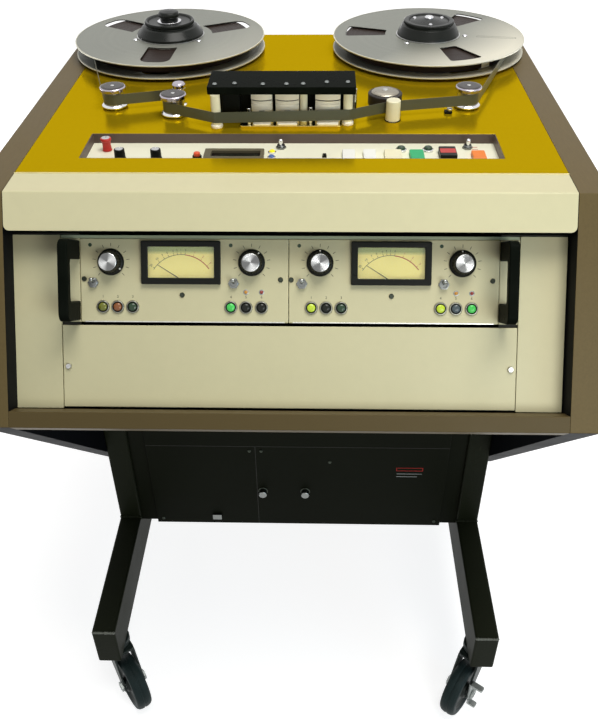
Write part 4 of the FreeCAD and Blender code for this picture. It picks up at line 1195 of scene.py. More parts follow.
class RECORDER_OT_pan(bpy.types.Operator):
    """Make the sunk control pan with its counter, lamps and bushings."""
    bl_idname = "recorder.pan"
    bl_label = "Control pan"

    def execute(self, context):
        wall, low = 1.5, PAN_FLOOR - 2.0
        loops = [pan_outline(wall)]
        for left, right, front, back, _ in (*PUSH_BUTTONS.values(), *WIND_BUTTONS):
            loops.append(box_outline(left - 0.3, right + 0.3, front - 0.3, back + 0.3, 1.5))
        loops += [circle(4.6, x, TOGGLE_LINE) for x in STRIP_TOGGLES]
        x, y = SLIDE_SWITCH
        loops += [box_outline(x - 2.5, x + 2.5, y - 5, y + 5), circle(3.9, *RESET_BUTTON)]
        pan = Piece("control_pan").add(plate(loops, low, PAN_FLOOR, 0.2), "pan cream")
        pan.add(plate([pan_outline(wall, 1.0), pan_outline(0, 0.8)], low, -3.0, 0.1), "pan wall")
        pan.add(plate([pan_outline(0, 0.8), pan_outline(-0.8, 0.8)], PAN_FLOOR, -0.3, 0.1), "pan wall")
        for x, y in PAN_KNOBS.values():
            pan.add(disc(2, low, -3, x, y), "steel")
        for x in STRIP_TOGGLES:
            bushing(pan, x, TOGGLE_LINE, PAN_FLOOR)
        counter(pan)
        collar = [(5.2, PAN_FLOOR), (5.2, -9.2), (4.8, -8.5), (3.9, -8.5), (3.9, PAN_FLOOR)]
        pan.add(lathe(collar, *RESET_BUTTON, 40), "soft black")
        for x, y, radius, rise, name in PAN_LAMPS:
            foot, shoulder, top = PAN_FLOOR, PAN_FLOOR + rise * 0.5, PAN_FLOOR + rise
            dome = [(0, foot), (radius, foot), (radius, shoulder), (radius * 0.8, top), (0, top)]
            pan.add(turned(dome, rise * 0.4, x, y, 32, steps=5), name)
            rim = [(radius + 1.2, foot), (radius + 1.2, shoulder - 0.4), (radius + 0.5, shoulder),
                   (radius, shoulder), (radius, foot)]
            pan.add(lathe(rim, x, y, 40), "chrome")
        for front in (130.6, 136.2):
            pan.add(slab(204.4, 211.4, front, front + 1.0, 0, PAN_FLOOR, PAN_FLOOR + 0.12), "red mark")
        pan.make("pan_paint", "control_well")
        return {"FINISHED"}


def pan_knobs():
    floor, bore = PAN_FLOOR + 0.4, [(0, -2.6), (2.05, -2.6)]
    red = [(2.05, floor), (5.6, floor), (5.0, -9), (4.6, -4.5), (5.2, -0.5), (6.2, 1), (6.2, 3), (5.4, 3.7),
           (0, 3.7)]
    x, y = PAN_KNOBS["power_knob"]
    knob = Piece("power_knob_cap")
    knob.add(lathe(rounded_section(red, 0.5) + bore, x, y, 72, (18, 0.35, -0.5, 3.0)), "red plastic")
    knob.add(turned([(0, 3.6), (4.7, 3.6), (4.7, 3.95), (0, 3.95)], 0.2, x, y, 48), "steel")
    knob.add(bar(x - 0.35, x + 0.35, y + 0.5, y + 4.2, 3.9, 4.0, 0), "ink black")
    knob.make("red_plastic", "power_knob", body="power_knob")
    black = [(2.05, floor), (6.8, floor), (6.8, -9.9), (6.1, -9.2), (5.8, 1), (5.1, 1.7), (0, 1.7)]
    for name in ("speed_knob", "size_knob"):
        x, y = PAN_KNOBS[name]
        knob = Piece(name + "_cap")
        grip = lathe(rounded_section(black, 0.4) + bore, x, y, 96, (24, 0.3, -9.3, 1.2))
        knob.add(grip, "black plastic")
        knob.add(turned([(0, 1.6), (4.4, 1.6), (4.4, 1.95), (0, 1.95)], 0.15, x, y, 48), "steel")
        knob.add(bar(x - 0.35, x + 0.35, y + 1.0, y + 5.0, 1.7, 2.0, 0.05), "pale mark")
        knob.make("black_plastic", name, body=name)


def push_button(sizes):
    """A button cap with soft edges."""
    *reach, top = sizes
    return slab(*reach, 1.6, -20.0, top, 0.9, 4)


def pan_buttons():
    for (name, tone), sizes in PUSH_BUTTONS.items():
        cap = Piece(name + "_cap").add(push_button(sizes), tone + " plastic")
        if name == "record_button":
            left, right, _, _, top = sizes
            cap.add(bar(left + 0.8, right - 0.8, 107.5, 118.8, top - 0.4, top + 0.12, 0.05), "red plastic")
        cap.make(tone + "_plastic", name, body=name)
    pair = Piece("wind_button_caps")
    for sizes in WIND_BUTTONS:
        pair.add(push_button(sizes), "white plastic")
    pair.make("white_plastic", "wind_buttons", body="wind_buttons")
    cap = turned([(0, -15), (3.6, -15), (3.6, -5.0), (0, -4.0)], 0.9, *RESET_BUTTON, 40, steps=5)
    button = Piece("reset_button_cap").add(cap, "bright red plastic")
    button.make("red_plastic", "reset_button", body="reset_button")


def pan_switches():
    x, y = SLIDE_SWITCH
    slider = Piece("mode_switch_slider")
    slider.add(bar(x - 4, x + 4, y - 6, y + 1, -16, -13.9, 0.2), "black plastic")
    slider.add(bar(x - 1.9, x + 1.9, y - 4.5, y - 0.5, -14, -8.2, 0.35), "black plastic")
    for step in range(3):
        ridge = y - 3.7 + step * 1.1
        slider.add(bar(x - 1.8, x + 1.8, ridge, ridge + 0.45, -8.3, -7.9, 0.1), "black plastic")
    slider.make("black_plastic", "mode_switch", body="mode_switch")
    pair = Piece("deck_toggle_levers")
    for x in STRIP_TOGGLES:
        pair.add(toggle_lever(x, TOGGLE_LINE, PAN_FLOOR, 12), "chrome")
    pair.make("chrome", "deck_switches", body="deck_switches")


class RECORDER_OT_pan_controls(bpy.types.Operator):
    """Make the knobs, buttons, toggles and the small switch of the control pan."""
    bl_idname = "recorder.pan_controls"
    bl_label = "Pan controls"

    def execute(self, context):
        pan_knobs()
        pan_buttons()
        pan_switches()
        return {"FINISHED"}


def toggle_lever(x, y, z, tilt):
    """A bat-handled lever with a ball at its root, and its pin across."""
    bat = [(0, -7), (1.4, -7), (1.4, -2), (2.2, 0.5), (1.4, 3.0), (2.4, 10.8), (2.0, 12.2), (0, 12.7)]
    pin = moved(disc(1, -4.4, 4.4, 0, 0, 12), at(0, 0, -4) @ spin(90, "Y"))
    lever = joined(turned(bat, 0.9, sides=28, steps=4), pin)
    return moved(lever, at(x, y, z) @ at(0, 0, -4) @ spin(tilt, "X") @ at(0, 0, 4))


# Reels

REELS = {"supply": -REEL_X, "takeup": REEL_X}
REEL_FINISH = {"supply": "supply reel silver", "takeup": "take-up reel silver"}
PACK_FINISH = {"supply": "supply pack side", "takeup": "take-up pack side"}
PACK_RADIUS = {"supply": 112.0, "takeup": 115.0}
FIRST_WINDOW = {"supply": -93.0, "takeup": -69.0}


def rotated(points, degrees):
    c, s = polar(1, degrees)
    return [(x * c - y * s, x * s + y * c) for x, y in points]


def reel_windows(kind):
    """The outlines of a flange's three windows: straight slots on one reel, sectors on the other."""
    if kind == "supply":
        half, near, far = 20.0, 59.0, 118.0
        reach = math.degrees(math.asin(half / near))
        slot = outline([(near + 1, -half), (far, -half, 14.0), (far, half, 14.0), (near + 1, half)])
        window = arc(near, reach, -reach, 8) + slot[1:-1]
    else:
        half, corner = 11.5, 4.0
        near, far = arc(60, half, -half, 8), arc(116, -half, half, 8)
        window = []
        for row in (near, far):
            window += [(*row[0], corner), *row[1:-1], (*row[-1], corner)]
        window = outline(window)
    return [rotated(window, FIRST_WINDOW[kind] + 120 * step) for step in range(3)]


def bore_outline(radius):
    """A reel's bore with its three key notches."""
    points = []
    half = math.degrees(math.asin(2.8 / radius))
    for middle in (30, 150, 270):
        points += [polar(radius + 4, middle - half * 0.9), polar(radius + 4, middle + half * 0.9)]
        points += arc(radius, middle + half, middle + 120 - half, 12)
    return points


def cue_mark(reel, x):
    """A fine outline standing a hair proud along one spoke."""
    loops = [box_outline(68, 122, -3.0, 3.0, 2.0), box_outline(68.5, 121.5, -2.5, 2.5, 1.6)]
    mark = moved(plate(loops, REEL_TOP - 0.02, REEL_TOP + 0.05), at(x, REEL_BACK) @ spin(-8.6))
    reel.add(mark, "panel mark")


class RECORDER_OT_reels(bpy.types.Operator):
    """Make the two aluminium reels: windowed flanges with rolled rims, hub screws and core."""
    bl_idname = "recorder.reels"
    bl_label = "Reels"

    def execute(self, context):
        edge = context.scene.recorder_sizes.reel_edge
        for kind, x in REELS.items():
            silver = REEL_FINISH[kind]
            reel = Piece(kind + "_reel_flanges")
            loops = [circle(REEL_RADIUS, count=160), bore_outline(BORE_RADIUS)] + reel_windows(kind)
            for low in (REEL_LIFT, REEL_LIFT + FLANGE + FLANGE_GAP):
                high = low + FLANGE
                reel.add(moved(plate(loops, low, high, edge), at(x, REEL_BACK)), silver)
                bead = [(REEL_RADIUS - 2.6, low + 0.2), (REEL_RADIUS, low + 0.2), (REEL_RADIUS, high - 0.1),
                        (REEL_RADIUS - 2.6, high + 0.12)]
                reel.add(turned(bead, 0.5, x, REEL_BACK, 160), silver)
            low, high = REEL_LIFT + FLANGE, REEL_TOP - FLANGE
            core = [(CORE_RADIUS, low), (CORE_RADIUS, high), (BORE_RADIUS, high), (BORE_RADIUS, low)]
            reel.add(turned(core, 0.2, x, REEL_BACK, 96), "head cream")
            for step in range(3):
                across, back = polar(51.5, FIRST_WINDOW[kind] + 60 + 120 * step)
                place = (x + across, REEL_BACK + back, REEL_TOP + 0.5)
                reel.add(screws([place], 3.4, 1.0, 0.8, step + 2), "chrome")
            if kind == "takeup":
                cue_mark(reel, x)
            reel.make("reel_aluminium", kind + "_reel", body=kind + "_spool")
            dress(kind + "_turntable", "steel")
        return {"FINISHED"}


class RECORDER_OT_tape(bpy.types.Operator):
    """Make the wound tape packs with a splice tab on one, and the open tape between them."""
    bl_idname = "recorder.tape"
    bl_label = "Tape"

    def execute(self, context):
        for kind, x in REELS.items():
            radius = PACK_RADIUS[kind]
            top = TAPE_LOW + TAPE_WIDTH
            pack = Piece(kind + "_tape_pack")
            span = radius - CORE_RADIUS
            turns = [(CORE_RADIUS + span * step / 18, 0.12 * (step % 3 == 1)) for step in range(19)]
            section = [(CORE_RADIUS, TAPE_LOW)] + [(reach, TAPE_LOW + proud) for reach, proud in turns]
            section += [(reach, top - proud) for reach, proud in reversed(turns)]
            pack.add(lathe(section, x, REEL_BACK, 160), PACK_FINISH[kind])
            if kind == "takeup":
                tab = arc_band(radius - 0.2, radius + 0.4, -57, -50, TAPE_LOW, top)
                pack.add(moved(tab, at(x, REEL_BACK)), "white plastic")
            pack.make("tape_brown", kind + "_tape", body=kind + "_spool", smooth=50)
        ribbon = Piece("tape_ribbon")
        for solid in solids_of("tape_run"):
            ribbon.add(solid, "tape oxide")
        ribbon.make("tape_brown", "tape_run")
        return {"FINISHED"}


def clamp_ring(inner, x, base):
    """The bright ring under a clamp's skirt."""
    outer = inner + 1.3
    section = [(inner, base + 0.1), (outer, base + 0.1), (outer, base + 0.9), (inner, base + 1.2)]
    return lathe(section, x, REEL_BACK, 96)


class RECORDER_OT_hub_locks(bpy.types.Operator):
    """Make the two stepped black clamps that hold the reels, with their knurls and caps."""
    bl_idname = "recorder.hub_locks"
    bl_label = "Hub clamps"

    def execute(self, context):
        base = REEL_TOP + 0.3
        skirt = [
            (4.05, base), (46, base), (46.5, 23), (46.5, 26), (45, 27.6), (38.5, 35), (36, 36.4),
            (33.4, 36.8), (33.4, 38.2), (34.6, 38.8), (34.6, 42), (33.4, 43), (31.6, 42.4), (29, 40.6),
            (16, 40.2), (14.8, 42.2), (11.4, 43.2), (0, 43.2), (0, 31), (4.05, 31),
        ]
        knob = [
            (0, 42.6), (12.6, 42.6), (12.9, 43.6), (11.4, 44.6), (11.4, 46.4), (14.2, 47.4), (14.6, 48.2),
            (14.6, 51.2), (13.8, 53.0), (12.2, 54.2), (4, 55.2), (0, 55.2),
        ]
        washer = [(14.6, 40.3), (16.6, 40.3), (16.8, 41.6), (14.8, 42.4), (11.0, 43.4), (11.0, 42.8)]
        place = (-REEL_X, REEL_BACK)
        clamp = Piece("supply_clamp")
        clamp.add(turned(skirt, 0.5, *place, 480, (120, 0.5, 38.5, 42.2)), "hub black")
        clamp.add(turned(knob, 0.5, *place, 144, (36, 0.5, 47.8, 51.8)), "hub black")
        clamp.add(turned(washer, 0.3, *place, 64), "chrome")
        clamp.add(clamp_ring(46.3, -REEL_X, base), "steel")
        clamp.make("black_paint", "supply_hub_lock", body="supply_lock")
        skirt = [
            (4.05, base), (43, base), (43.5, 23), (42.6, 26), (37.4, 36), (35.4, 36.8), (34.2, 37.4),
            (35, 38.2), (35, 41), (33.6, 42), (29, 42), (27, 40.4), (20, 41.6), (10, 43.2), (6, 43.6),
            (0, 43.6), (0, 31), (4.05, 31),
        ]
        knob = [(0, 43.2), (6.2, 43.2), (6.2, 45.6), (4.8, 46.8), (0, 46.8)]
        place = (REEL_X, REEL_BACK)
        clamp = Piece("takeup_clamp")
        clamp.add(turned(skirt, 0.5, *place, 480, (120, 0.5, 38.0, 41.2)), "hub black")
        clamp.add(clamp_ring(43.3, REEL_X, base), "steel")
        clamp.add(turned(knob, 0.6, *place, 48), "chrome")
        places = [(REEL_X + x, REEL_BACK + y, 41.5) for x, y in (polar(22, a) for a in (30, 150, 270))]
        clamp.add(screws(places, 2.6, 1.2, 0.7, 4), "chrome")
        clamp.make("black_paint", "takeup_hub_lock", body="takeup_lock")
        return {"FINISHED"}


# Tape path

ROLLERS = {name: spot(name + "_spin") for name in ("supply_roller", "timer_roller", "takeup_roller")}
RETURN_GUIDE = (-141.0, 234.0)
LEFT_POST = (-89.0, 168.0)
RIGHT_POST = (64.0, 177.0)
COVER_UNDER = 38.0
COVER_SCREWS = (
    (-89.6, 177.6), (-66.9, 180), (-34.2, 177.6), (-7.1, 178), (12, 178.6), (39.1, 184.4), (63.3, 184.4),
)


class RECORDER_OT_guides(bpy.types.Operator):
    """Make the guide rollers, posts, studs and the tape sensor."""
    bl_idname = "recorder.guides"
    bl_label = "Rollers and guides"

    def execute(self, context):
        foot = [(3.05, 1.4), (15.0, 1.4), (15.8, 2.2), (15.8, 3.6), (13.8, 5.5), (12.5, 5.9), (3.05, 5.9)]
        head = [(3.05, 19.9), (13.2, 19.9), (15.8, 21.1), (15.8, 25.0), (14.9, 26.0), (3.05, 26.0)]
        cap = [(0, 25.0), (14.4, 25.0), (14.4, 26.2), (11.5, 26.7), (0, 26.8)]
        for name, (x, y) in ROLLERS.items():
            roller = Piece(name + "_wheel")
            roller.add(turned(foot, 0.5, x, y, 72), "chrome")
            roller.add(lathe([(3.05, 5.9), (12.5, 5.9), (12.5, 19.9), (3.05, 19.9)], x, y, 72), "steel")
            roller.add(turned(head, 0.5, x, y, 72), "violet chrome")
            roller.add(turned(cap, 0.4, x, y, 72), "roller cap")
            roller.add(turned([(0, 26.6), (2.4, 26.6), (2.2, 27.0), (0, 27.0)], 0.2, x, y, 24), "steel")
            roller.make("steel", name, body=name)
        fixed = Piece("guide_posts")
        for x, y in ROLLERS.values():
            stud = [(0, 0), (8, 0), (8, 1), (3, 1), (3, 24), (0, 24)]
            fixed.add(turned(stud, 0.3, x, y, 40), "steel")
        for x, y in (LEFT_POST, RIGHT_POST):
            fixed.add(turned([(0, 0), (7, 0), (7, 2.6), (5.6, 4.2), (0, 4.2)], 0.5, x, y, 48), "head cream")
            fixed.add(disc(5.5, 4.0, COVER_UNDER, x, y, 48), "ceramic")
        fixed.add(disc(2, 0, COVER_UNDER, 72.2, 187), "chrome")
        guide = [(0, 0), (8, 0), (8, 2.2), (5.5, 3.4), (5.5, 21.5), (8, 22.5), (8, 22.9), (0, 22.9)]
        fixed.add(turned(guide, 0.4, *RETURN_GUIDE, 48), "chrome")
        lid = [(0, 22.8), (8, 22.8), (8, 27), (6.5, 29), (0, 29)]
        fixed.add(turned(lid, 0.6, *RETURN_GUIDE, 48), "violet chrome")
        fixed.add(bar(181, 190, 207, 215, 0, 3, 0.6), "soft black")
        fixed.add(turned([(0, 3), (3.4, 3), (3.4, 5.8), (0, 5.8)], 0.6, 187, 211, 32), "steel")
        fixed.make("chrome", "tape_guides", smooth=35)
        return {"FINISHED"}


def tape_head(block, left, right):
    """One head: a curved lapped face in tiers, with a ledge and dark gap lines between them."""
    middle, half, back = (left + right) / 2, (right - left) / 2, 196.0
    face = [(middle + share / 6 * half, 178.0 - 4.0 * (1 - (share / 6) ** 2)) for share in range(-6, 7)]
    inner = [(min(max(x, left + 0.8), right - 0.8), y + 0.9) for x, y in face]
    core = inner + [(right - 0.8, back), (left + 0.8, back)]
    block.add(plate([core], 3, COVER_UNDER - 0.5, 0.1), "ink black")
    tiers = ((3.0, 6.2, 0), (6.7, 27.8, 0), (21.8, 24.2, 1.6), (29.4, COVER_UNDER - 1.0, 1.4))
    for low, high, forward in tiers:
        tier = [(x, y - forward) for x, y in face] + [(right, back), (left, back)]
        block.add(plate([tier], low, high, 0.3), "head cream")
    block.add(slab(left + 2, right - 2, 165.2, 175, 2.0, 2.9, 4.6, 0.5), "head cream")
    for low in (9.2, 14.8):
        block.add(bar(middle - 3.2, middle + 3.2, 173.85, 175.2, low, low + 2.6, 0.1), "steel")


class RECORDER_OT_heads(bpy.types.Operator):
    """Make the three heads on their gold base, the housing behind them and the black cover."""
    bl_idname = "recorder.heads"
    bl_label = "Heads"

    def execute(self, context):
        block = Piece("head_assembly")
        base = outline([(-62, 163, 4), (56.5, 163, 4), (56.5, 196, 0.5), (-62, 196, 0.5)])
        block.add(plate([base] + lifter_slots(), 0, 3, 0.5), "gold base")
        block.add(bar(-90, 72, 196, 224, 0, COVER_UNDER, 0.8), "soft black")
        block.add(bar(-83, -62, 180, 196, 0, COVER_UNDER, 0.8), "soft black")
        top = COVER_UNDER - 0.2
        block.add(turned([(0, 3), (4.4, 3), (4.4, top), (0, top)], 0.3, 12.5, 179, 40), "ceramic")
        for left, right in ((-48.4, -24.1), (-20.3, 7.0), (26.0, 55.0)):
            tape_head(block, left, right)
        block.make("head_metal", "head_block")
        cover = Piece("head_lid")
        cover.add(slab(-98, 72.5, 168, 224, 2.0, COVER_UNDER, 46.5, 0.7, 3), "worn black")
        cover.add(screws([(x, y, 47.0) for x, y in COVER_SCREWS], 2.6, 1.2, 0.7, 11), "zinc")
        cover.make("black_paint", "head_cover")
        return {"FINISHED"}


class RECORDER_OT_drive(bpy.types.Operator):
    """Make the capstan, the pinch roller on its arm and the tape lifters."""
    bl_idname = "recorder.drive"
    bl_label = "Capstan and pinch roller"

    def execute(self, context):
        shaft = [(0, -60), (5, -60), (5, 0.6), (8.5, 0.6), (8.5, 23.4), (7.6, 24.4), (0, 24.4)]
        capstan = Piece("capstan_post")
        capstan.add(turned(shaft, 0.5, *CAPSTAN, sides=72), "ceramic")
        capstan.make("ceramic", "capstan", body="capstan", smooth=35)
        roller = Piece("pinch_wheel")
        rubber = [(4.05, 4.6), (19.5, 4.6), (20.5, 5.6), (20.5, 18), (19.5, 19), (4.05, 19)]
        crown = [(0, 18.7), (16.6, 18.7), (16.8, 19.6), (15.4, 20.8), (11, 21.8), (4, 22.4), (0, 22.4)]
        roller.add(turned(rubber, 0.6, *PINCH, 96), "pinch rubber")
        roller.add(turned(crown, 0.8, *PINCH, 72), "dark chrome")
        roller.add(turned([(0, 22.2), (3.2, 22.2), (3.0, 23.0), (0, 23.1)], 0.3, *PINCH, 32), "steel")
        roller.make("roller_rubber", "pinch_roller", body="pinch_roller", smooth=35)
        arm = Piece("pinch_lever")
        for solid in solids_of("pinch_arm"):
            arm.add(solid, "zinc")
        arm.make("steel", "pinch_arm", body="pinch_arm")
        lifters = Piece("lifter_pins")
        lifters.add(bar(LIFTERS[0][0] - 3, LIFTERS[1][0] + 3, 166, 176, -14, -10, 0.6), "zinc")
        for x, y in LIFTERS:
            lifters.add(turned([(0, -14), (2, -14), (2, 22), (0, 22)], 0.5, x, y, 32), "chrome")
        lifters.make("steel", "tape_lifters", body="tape_lifters")
        return {"FINISHED"}


# Electronics

KNOB_PLACES = (33.0, 182.0)
KNOB_DOWN = 24.6
TOGGLE_PLACES = (14.0, 163.0)
TOGGLE_DOWN = 46.4
BUTTON_PLACES = (24.0, 39.7, 55.6, 160.0, 176.0, 192.5)
BUTTON_DOWN = 71.8
BUTTON_HOLE = 5.7
LAMP_PLACES = ((176.0, 55.6, "amber lamp"), (192.5, 55.6, "red lamp"))
METER_LEFT = 65.6
METER_WIDTH = 83.9
METER_DOWN = 2.1
METER_HEIGHT = 45.6
NEEDLE_PIVOT = 18.2
NEEDLE_LENGTH = 30.0
NEEDLE_REST = 58.0
SCALE_CENTRE = 27.5
SCALE_RADIUS = 36.0
SCALE_NUMBERS = (
    (143, "20"), (130, "10"), (120, "7"), (112, "5"), (103, "3"), (97, "2"), (91, "1"), (84, "0"),
)
SCALE_RED_NUMBERS = ((70, "1"), (56, "2"), (42, "3"))
BUTTON_LENSES = (
    ("olive lens", "amber lens", "dark green lens", "lit green lens", "smoke lens", "smoke lens"),
    ("lit lime lens", "smoke lens", "dark green lens", "lit lime lens", "slate lens", "lit green lens"),
)
PLATE_SCREWS = (
    ((4.3, 42.4), (212.5, 42.4), (108.3, 59.0)),
    ((2.7, 42.4), (214.0, 42.4), (108.3, 59.0)),
)


def on_panel(place, down, module):
    """The point on the panel face this far from a module's left edge and below the panel's top."""
    return module + place, -(RACK_TOP + down)


def meter_middle(module):
    return on_panel(METER_LEFT + METER_WIDTH / 2, METER_DOWN + METER_HEIGHT / 2, module)


def module_plate(panel, module):
    """One plate with what is fixed to it: shafts, scales, bushings, rings, numbers and lamps."""
    left, right = module + 0.25, module + MODULE_WIDTH - 0.25
    low = -(RACK_TOP + RACK_HEIGHT)
    x, y = meter_middle(module)
    loops = [box_outline(left, right, low, -RACK_TOP, 0.8), box_outline(x - 38, x + 38, y - 21, y + 21, 1.0)]
    loops += [circle(5.0, *on_panel(p, KNOB_DOWN, module)) for p in KNOB_PLACES]
    loops += [circle(4.6, *on_panel(p, TOGGLE_DOWN, module), 32) for p in TOGGLE_PLACES]
    loops += [circle(BUTTON_HOLE, *on_panel(p, BUTTON_DOWN, module), 32) for p in BUTTON_PLACES]
    panel.add(plate(loops, PANEL_BACK, FACE, 0.9, 3), "panel cream")
    # A bright strip along the plate's bottom: a painted highlight of its bend.
    panel.add(bar(left + 4, right - 4, low, low + 1.3, FACE - 1, FACE + 0.08, 0.3), "bright edge")
    for place in KNOB_PLACES:
        x, y = on_panel(place, KNOB_DOWN, module)
        shaft = [(0, -60), (9, -60), (9, PANEL_BACK), (3, PANEL_BACK), (3, FACE + 12), (0, FACE + 12)]
        panel.add(lathe(shaft, x, y, 32), "zinc")
        points = [(*point, 0) for point in arc(18.2, 225, -45, 10)]
        marks = grown(tick_tree(), points, {"Length": 3.4, "Width": 0.5, "Height": 0.1})
        panel.add(moved(marks, at(x, y, FACE)), "panel mark")
    for place in TOGGLE_PLACES:
        bushing(panel, *on_panel(place, TOGGLE_DOWN, module), FACE)
    for number, place in enumerate(BUTTON_PLACES, start=1):
        x, y = on_panel(place, BUTTON_DOWN, module)
        rim = rounded_section([(BUTTON_HOLE, FACE), (7, FACE), (7, FACE + 1.2), (6.3, FACE + 2.2),
                               (BUTTON_HOLE, FACE + 2.2)], 0.3)
        panel.add(lathe(rim + rim[:1], x, y, 40), "ring grey")
        panel.add(lettering(str(number), 4.0, x, y + 10.8, FACE), "panel mark")
    for place, down, name in LAMP_PLACES:
        x, y = on_panel(place, down, module)
        panel.add(turned([(0, FACE), (1.9, FACE), (1.9, FACE + 1.0), (0, FACE + 2.2)], 0.8, x, y, 24), name)
        panel.add(lathe([(2.8, FACE), (2.8, FACE + 0.5), (1.9, FACE + 0.7), (1.9, FACE)], x, y, 24), "zinc")
    for place in (11.0, 160.0):
        panel.add(disc(2, FACE - 0.2, FACE + 0.06, *on_panel(place, 6.7, module), 20), "dark green lens")


class RECORDER_OT_modules(bpy.types.Operator):
    """Make the two module plates with their ears, fittings, screws and printed scales."""
    bl_idname = "recorder.modules"
    bl_label = "Module plates"

    def execute(self, context):
        radius = context.scene.recorder_sizes.screw_radius
        panel = Piece("module_plates", FRONT)
        low, high = -(RACK_TOP + RACK_HEIGHT), -RACK_TOP
        for ends in two_sides(MODULE_WIDTH + 0.2, RACK_HALF):
            panel.add(slab(*ends, low, high, 0.6, PANEL_BACK, FACE, 0.5), "panel cream")
        back, half, sheet = PANEL_BACK - 120, 218, 1.5
        bottom, top = low + 3, high - 3
        for wall in tray_walls(half, bottom, top, sheet):
            panel.add(bar(*wall, back, PANEL_BACK, 0.2), "zinc")
        panel.add(bar(-half, half, bottom, top, back, back + sheet, 0.2), "zinc")
        for x in (-110, 110):
            card = bar(x - 0.8, x + 0.8, bottom + sheet, top - sheet, back + 6, back + 70, 0.1)
            panel.add(card, "circuit green")
        for module in MODULES:
            module_plate(panel, module)
        places = [(*on_panel(x, down, module), FACE + 0.5)
                  for module, row in zip(MODULES, PLATE_SCREWS) for x, down in row]
        panel.add(screws(places, radius * 0.85, 1.2, 0.8, 5), "dark zinc")
        # The fold over the plates' top: its greenish grey is painted shade and reflection under the nose.
        panel.add(bar(-RACK_HALF, RACK_HALF, high, high + 3.6, PANEL_BACK, PANEL_BACK + 1.5, 0.3), "lip grey")
        panel.make("cream_paint", "electronics_panel")
        return {"FINISHED"}


def meter_case(meters, x, y):
    """The moulded case with its bezel, its glass and the hump over its works."""
    half, tall = METER_WIDTH / 2, METER_HEIGHT / 2
    window = (x - 35, x + 35, y - 16, y + 16.5)
    bezel = [box_outline(x - half, x + half, y - tall, y + tall, 1.5), box_outline(*window, 1.0)]
    inner = [box_outline(x - 37.8, x + 37.8, y - 20.8, y + 20.3, 1.0),
             box_outline(x - 36, x + 36, y - 20.1, y + 19, 0.6)]
    for shape in (plate(bezel, FACE + 0.05, FACE + 5, 1.0, 3), plate(inner, FACE - 31, FACE + 0.1),
                  plate(inner[:1], FACE - 33, FACE - 31)):
        meters.add(shape, "black plastic")
    meters.add(slab(*window, 0.8, FACE + 2.0, FACE + 3.4, 0.1), "meter glass")
    meters.add(bar(x - 9, x + 9, y - 20.1, y - 5, FACE - 31, FACE - 6, 0.5), "black plastic")


def meter_scale(meters, x, y):
    """The scale plate with its arc, marks and numbers, black up to nought and red past it."""
    top = FACE - 3.0
    sheet = [box_outline(x - 36, x + 36, y - 20.1, y + 19, 0.5), circle(1.6, x, y - NEEDLE_PIVOT)]
    meters.add(plate(sheet, FACE - 4, top), "meter paper")
    centre = at(x, y - SCALE_CENTRE, top)
    low, high = SCALE_RADIUS - 0.25, SCALE_RADIUS + 0.25
    for ink, inner, start, end, numbers in (("ink black", low, 84, 146, SCALE_NUMBERS),
                                            ("ink red", low - 0.4, 36, 84, SCALE_RED_NUMBERS)):
        meters.add(moved(arc_band(inner, high, start, end, 0, 0.05), centre), ink)
        points = [(*polar(high + 1.1, angle), 0) for angle, _ in numbers]
        lines = grown(tick_tree(), points, {"Length": 2.2, "Width": 0.36, "Height": 0.08})
        meters.add(moved(lines, centre), ink)
        for angle, text in numbers:
            figure = lettering(text, 3.2, *polar(high + 4.4, angle), 0, angle - 90)
            meters.add(moved(figure, centre), ink)


def meter_needle(name, x, y):
    place = at(x, y - NEEDLE_PIVOT) @ spin(NEEDLE_REST)
    pointer = Piece(name + "_pointer", FRONT)
    staff = [(0, -19), (1, -19), (1, -2.4), (1.6, -2.2), (1.6, -0.8), (0, -0.8)]
    pointer.add(moved(lathe([(r, FACE + z) for r, z in staff], sides=24), place), "zinc")
    blade = [(-0.45, 0), (0.45, 0), (0.25, NEEDLE_LENGTH), (-0.25, NEEDLE_LENGTH)]
    pointer.add(moved(plate([blade], FACE - 1.8, FACE - 1.2), place), "ink black")
    pointer.make("needle_metal", name, body=name)


class RECORDER_OT_meters(bpy.types.Operator):
    """Make the two meters: bezel, glass, printed scale with its numbers, and needle."""
    bl_idname = "recorder.meters"
    bl_label = "Meters"

    def execute(self, context):
        meters = Piece("meter_bezels", FRONT)
        for number, module in enumerate(MODULES, start=1):
            x, y = meter_middle(module)
            meter_case(meters, x, y)
            meter_scale(meters, x, y)
            meter_needle(f"channel_{number}_needle", x, y)
        meters.make("black_plastic", "meter_cases")
        return {"FINISHED"}


def channel_knob(name, place, flutes):
    """A black skirted knob with a fluted grip, a pointer on the skirt and a spun silver cap."""
    skirt = [(3.05, 0.5), (14.2, 0.5), (14.2, 1.9), (13.2, 3.3), (12, 4.2), (3.05, 4.2)]
    grip = [(3.05, 4.0), (12.0, 4.0), (11.4, 6.0), (10.3, 14.6), (9.6, 15.5), (0, 15.5), (0, 12.5),
            (3.05, 12.5)]
    cap = [(0, 15.2), (9.3, 15.2), (9.5, 15.8), (8.9, 16.2), (0, 16.0)]
    knob = Piece(name + "_cap", place)
    knob.add(turned(skirt, 0.5, sides=72), "black plastic")
    knob.add(turned(grip, 0.6, sides=flutes * 6, flutes=(flutes, 0.55, 4.6, 14.8)), "black plastic")
    knob.add(turned(cap, 0.25, sides=72), spun_metal(name + " spun cap", place))
    knob.add(bar(-0.7, 0.7, 9.0, 13.4, 3.0, 4.9, 0.25), "pale mark")
    knob.make("black_plastic", name, body=name)


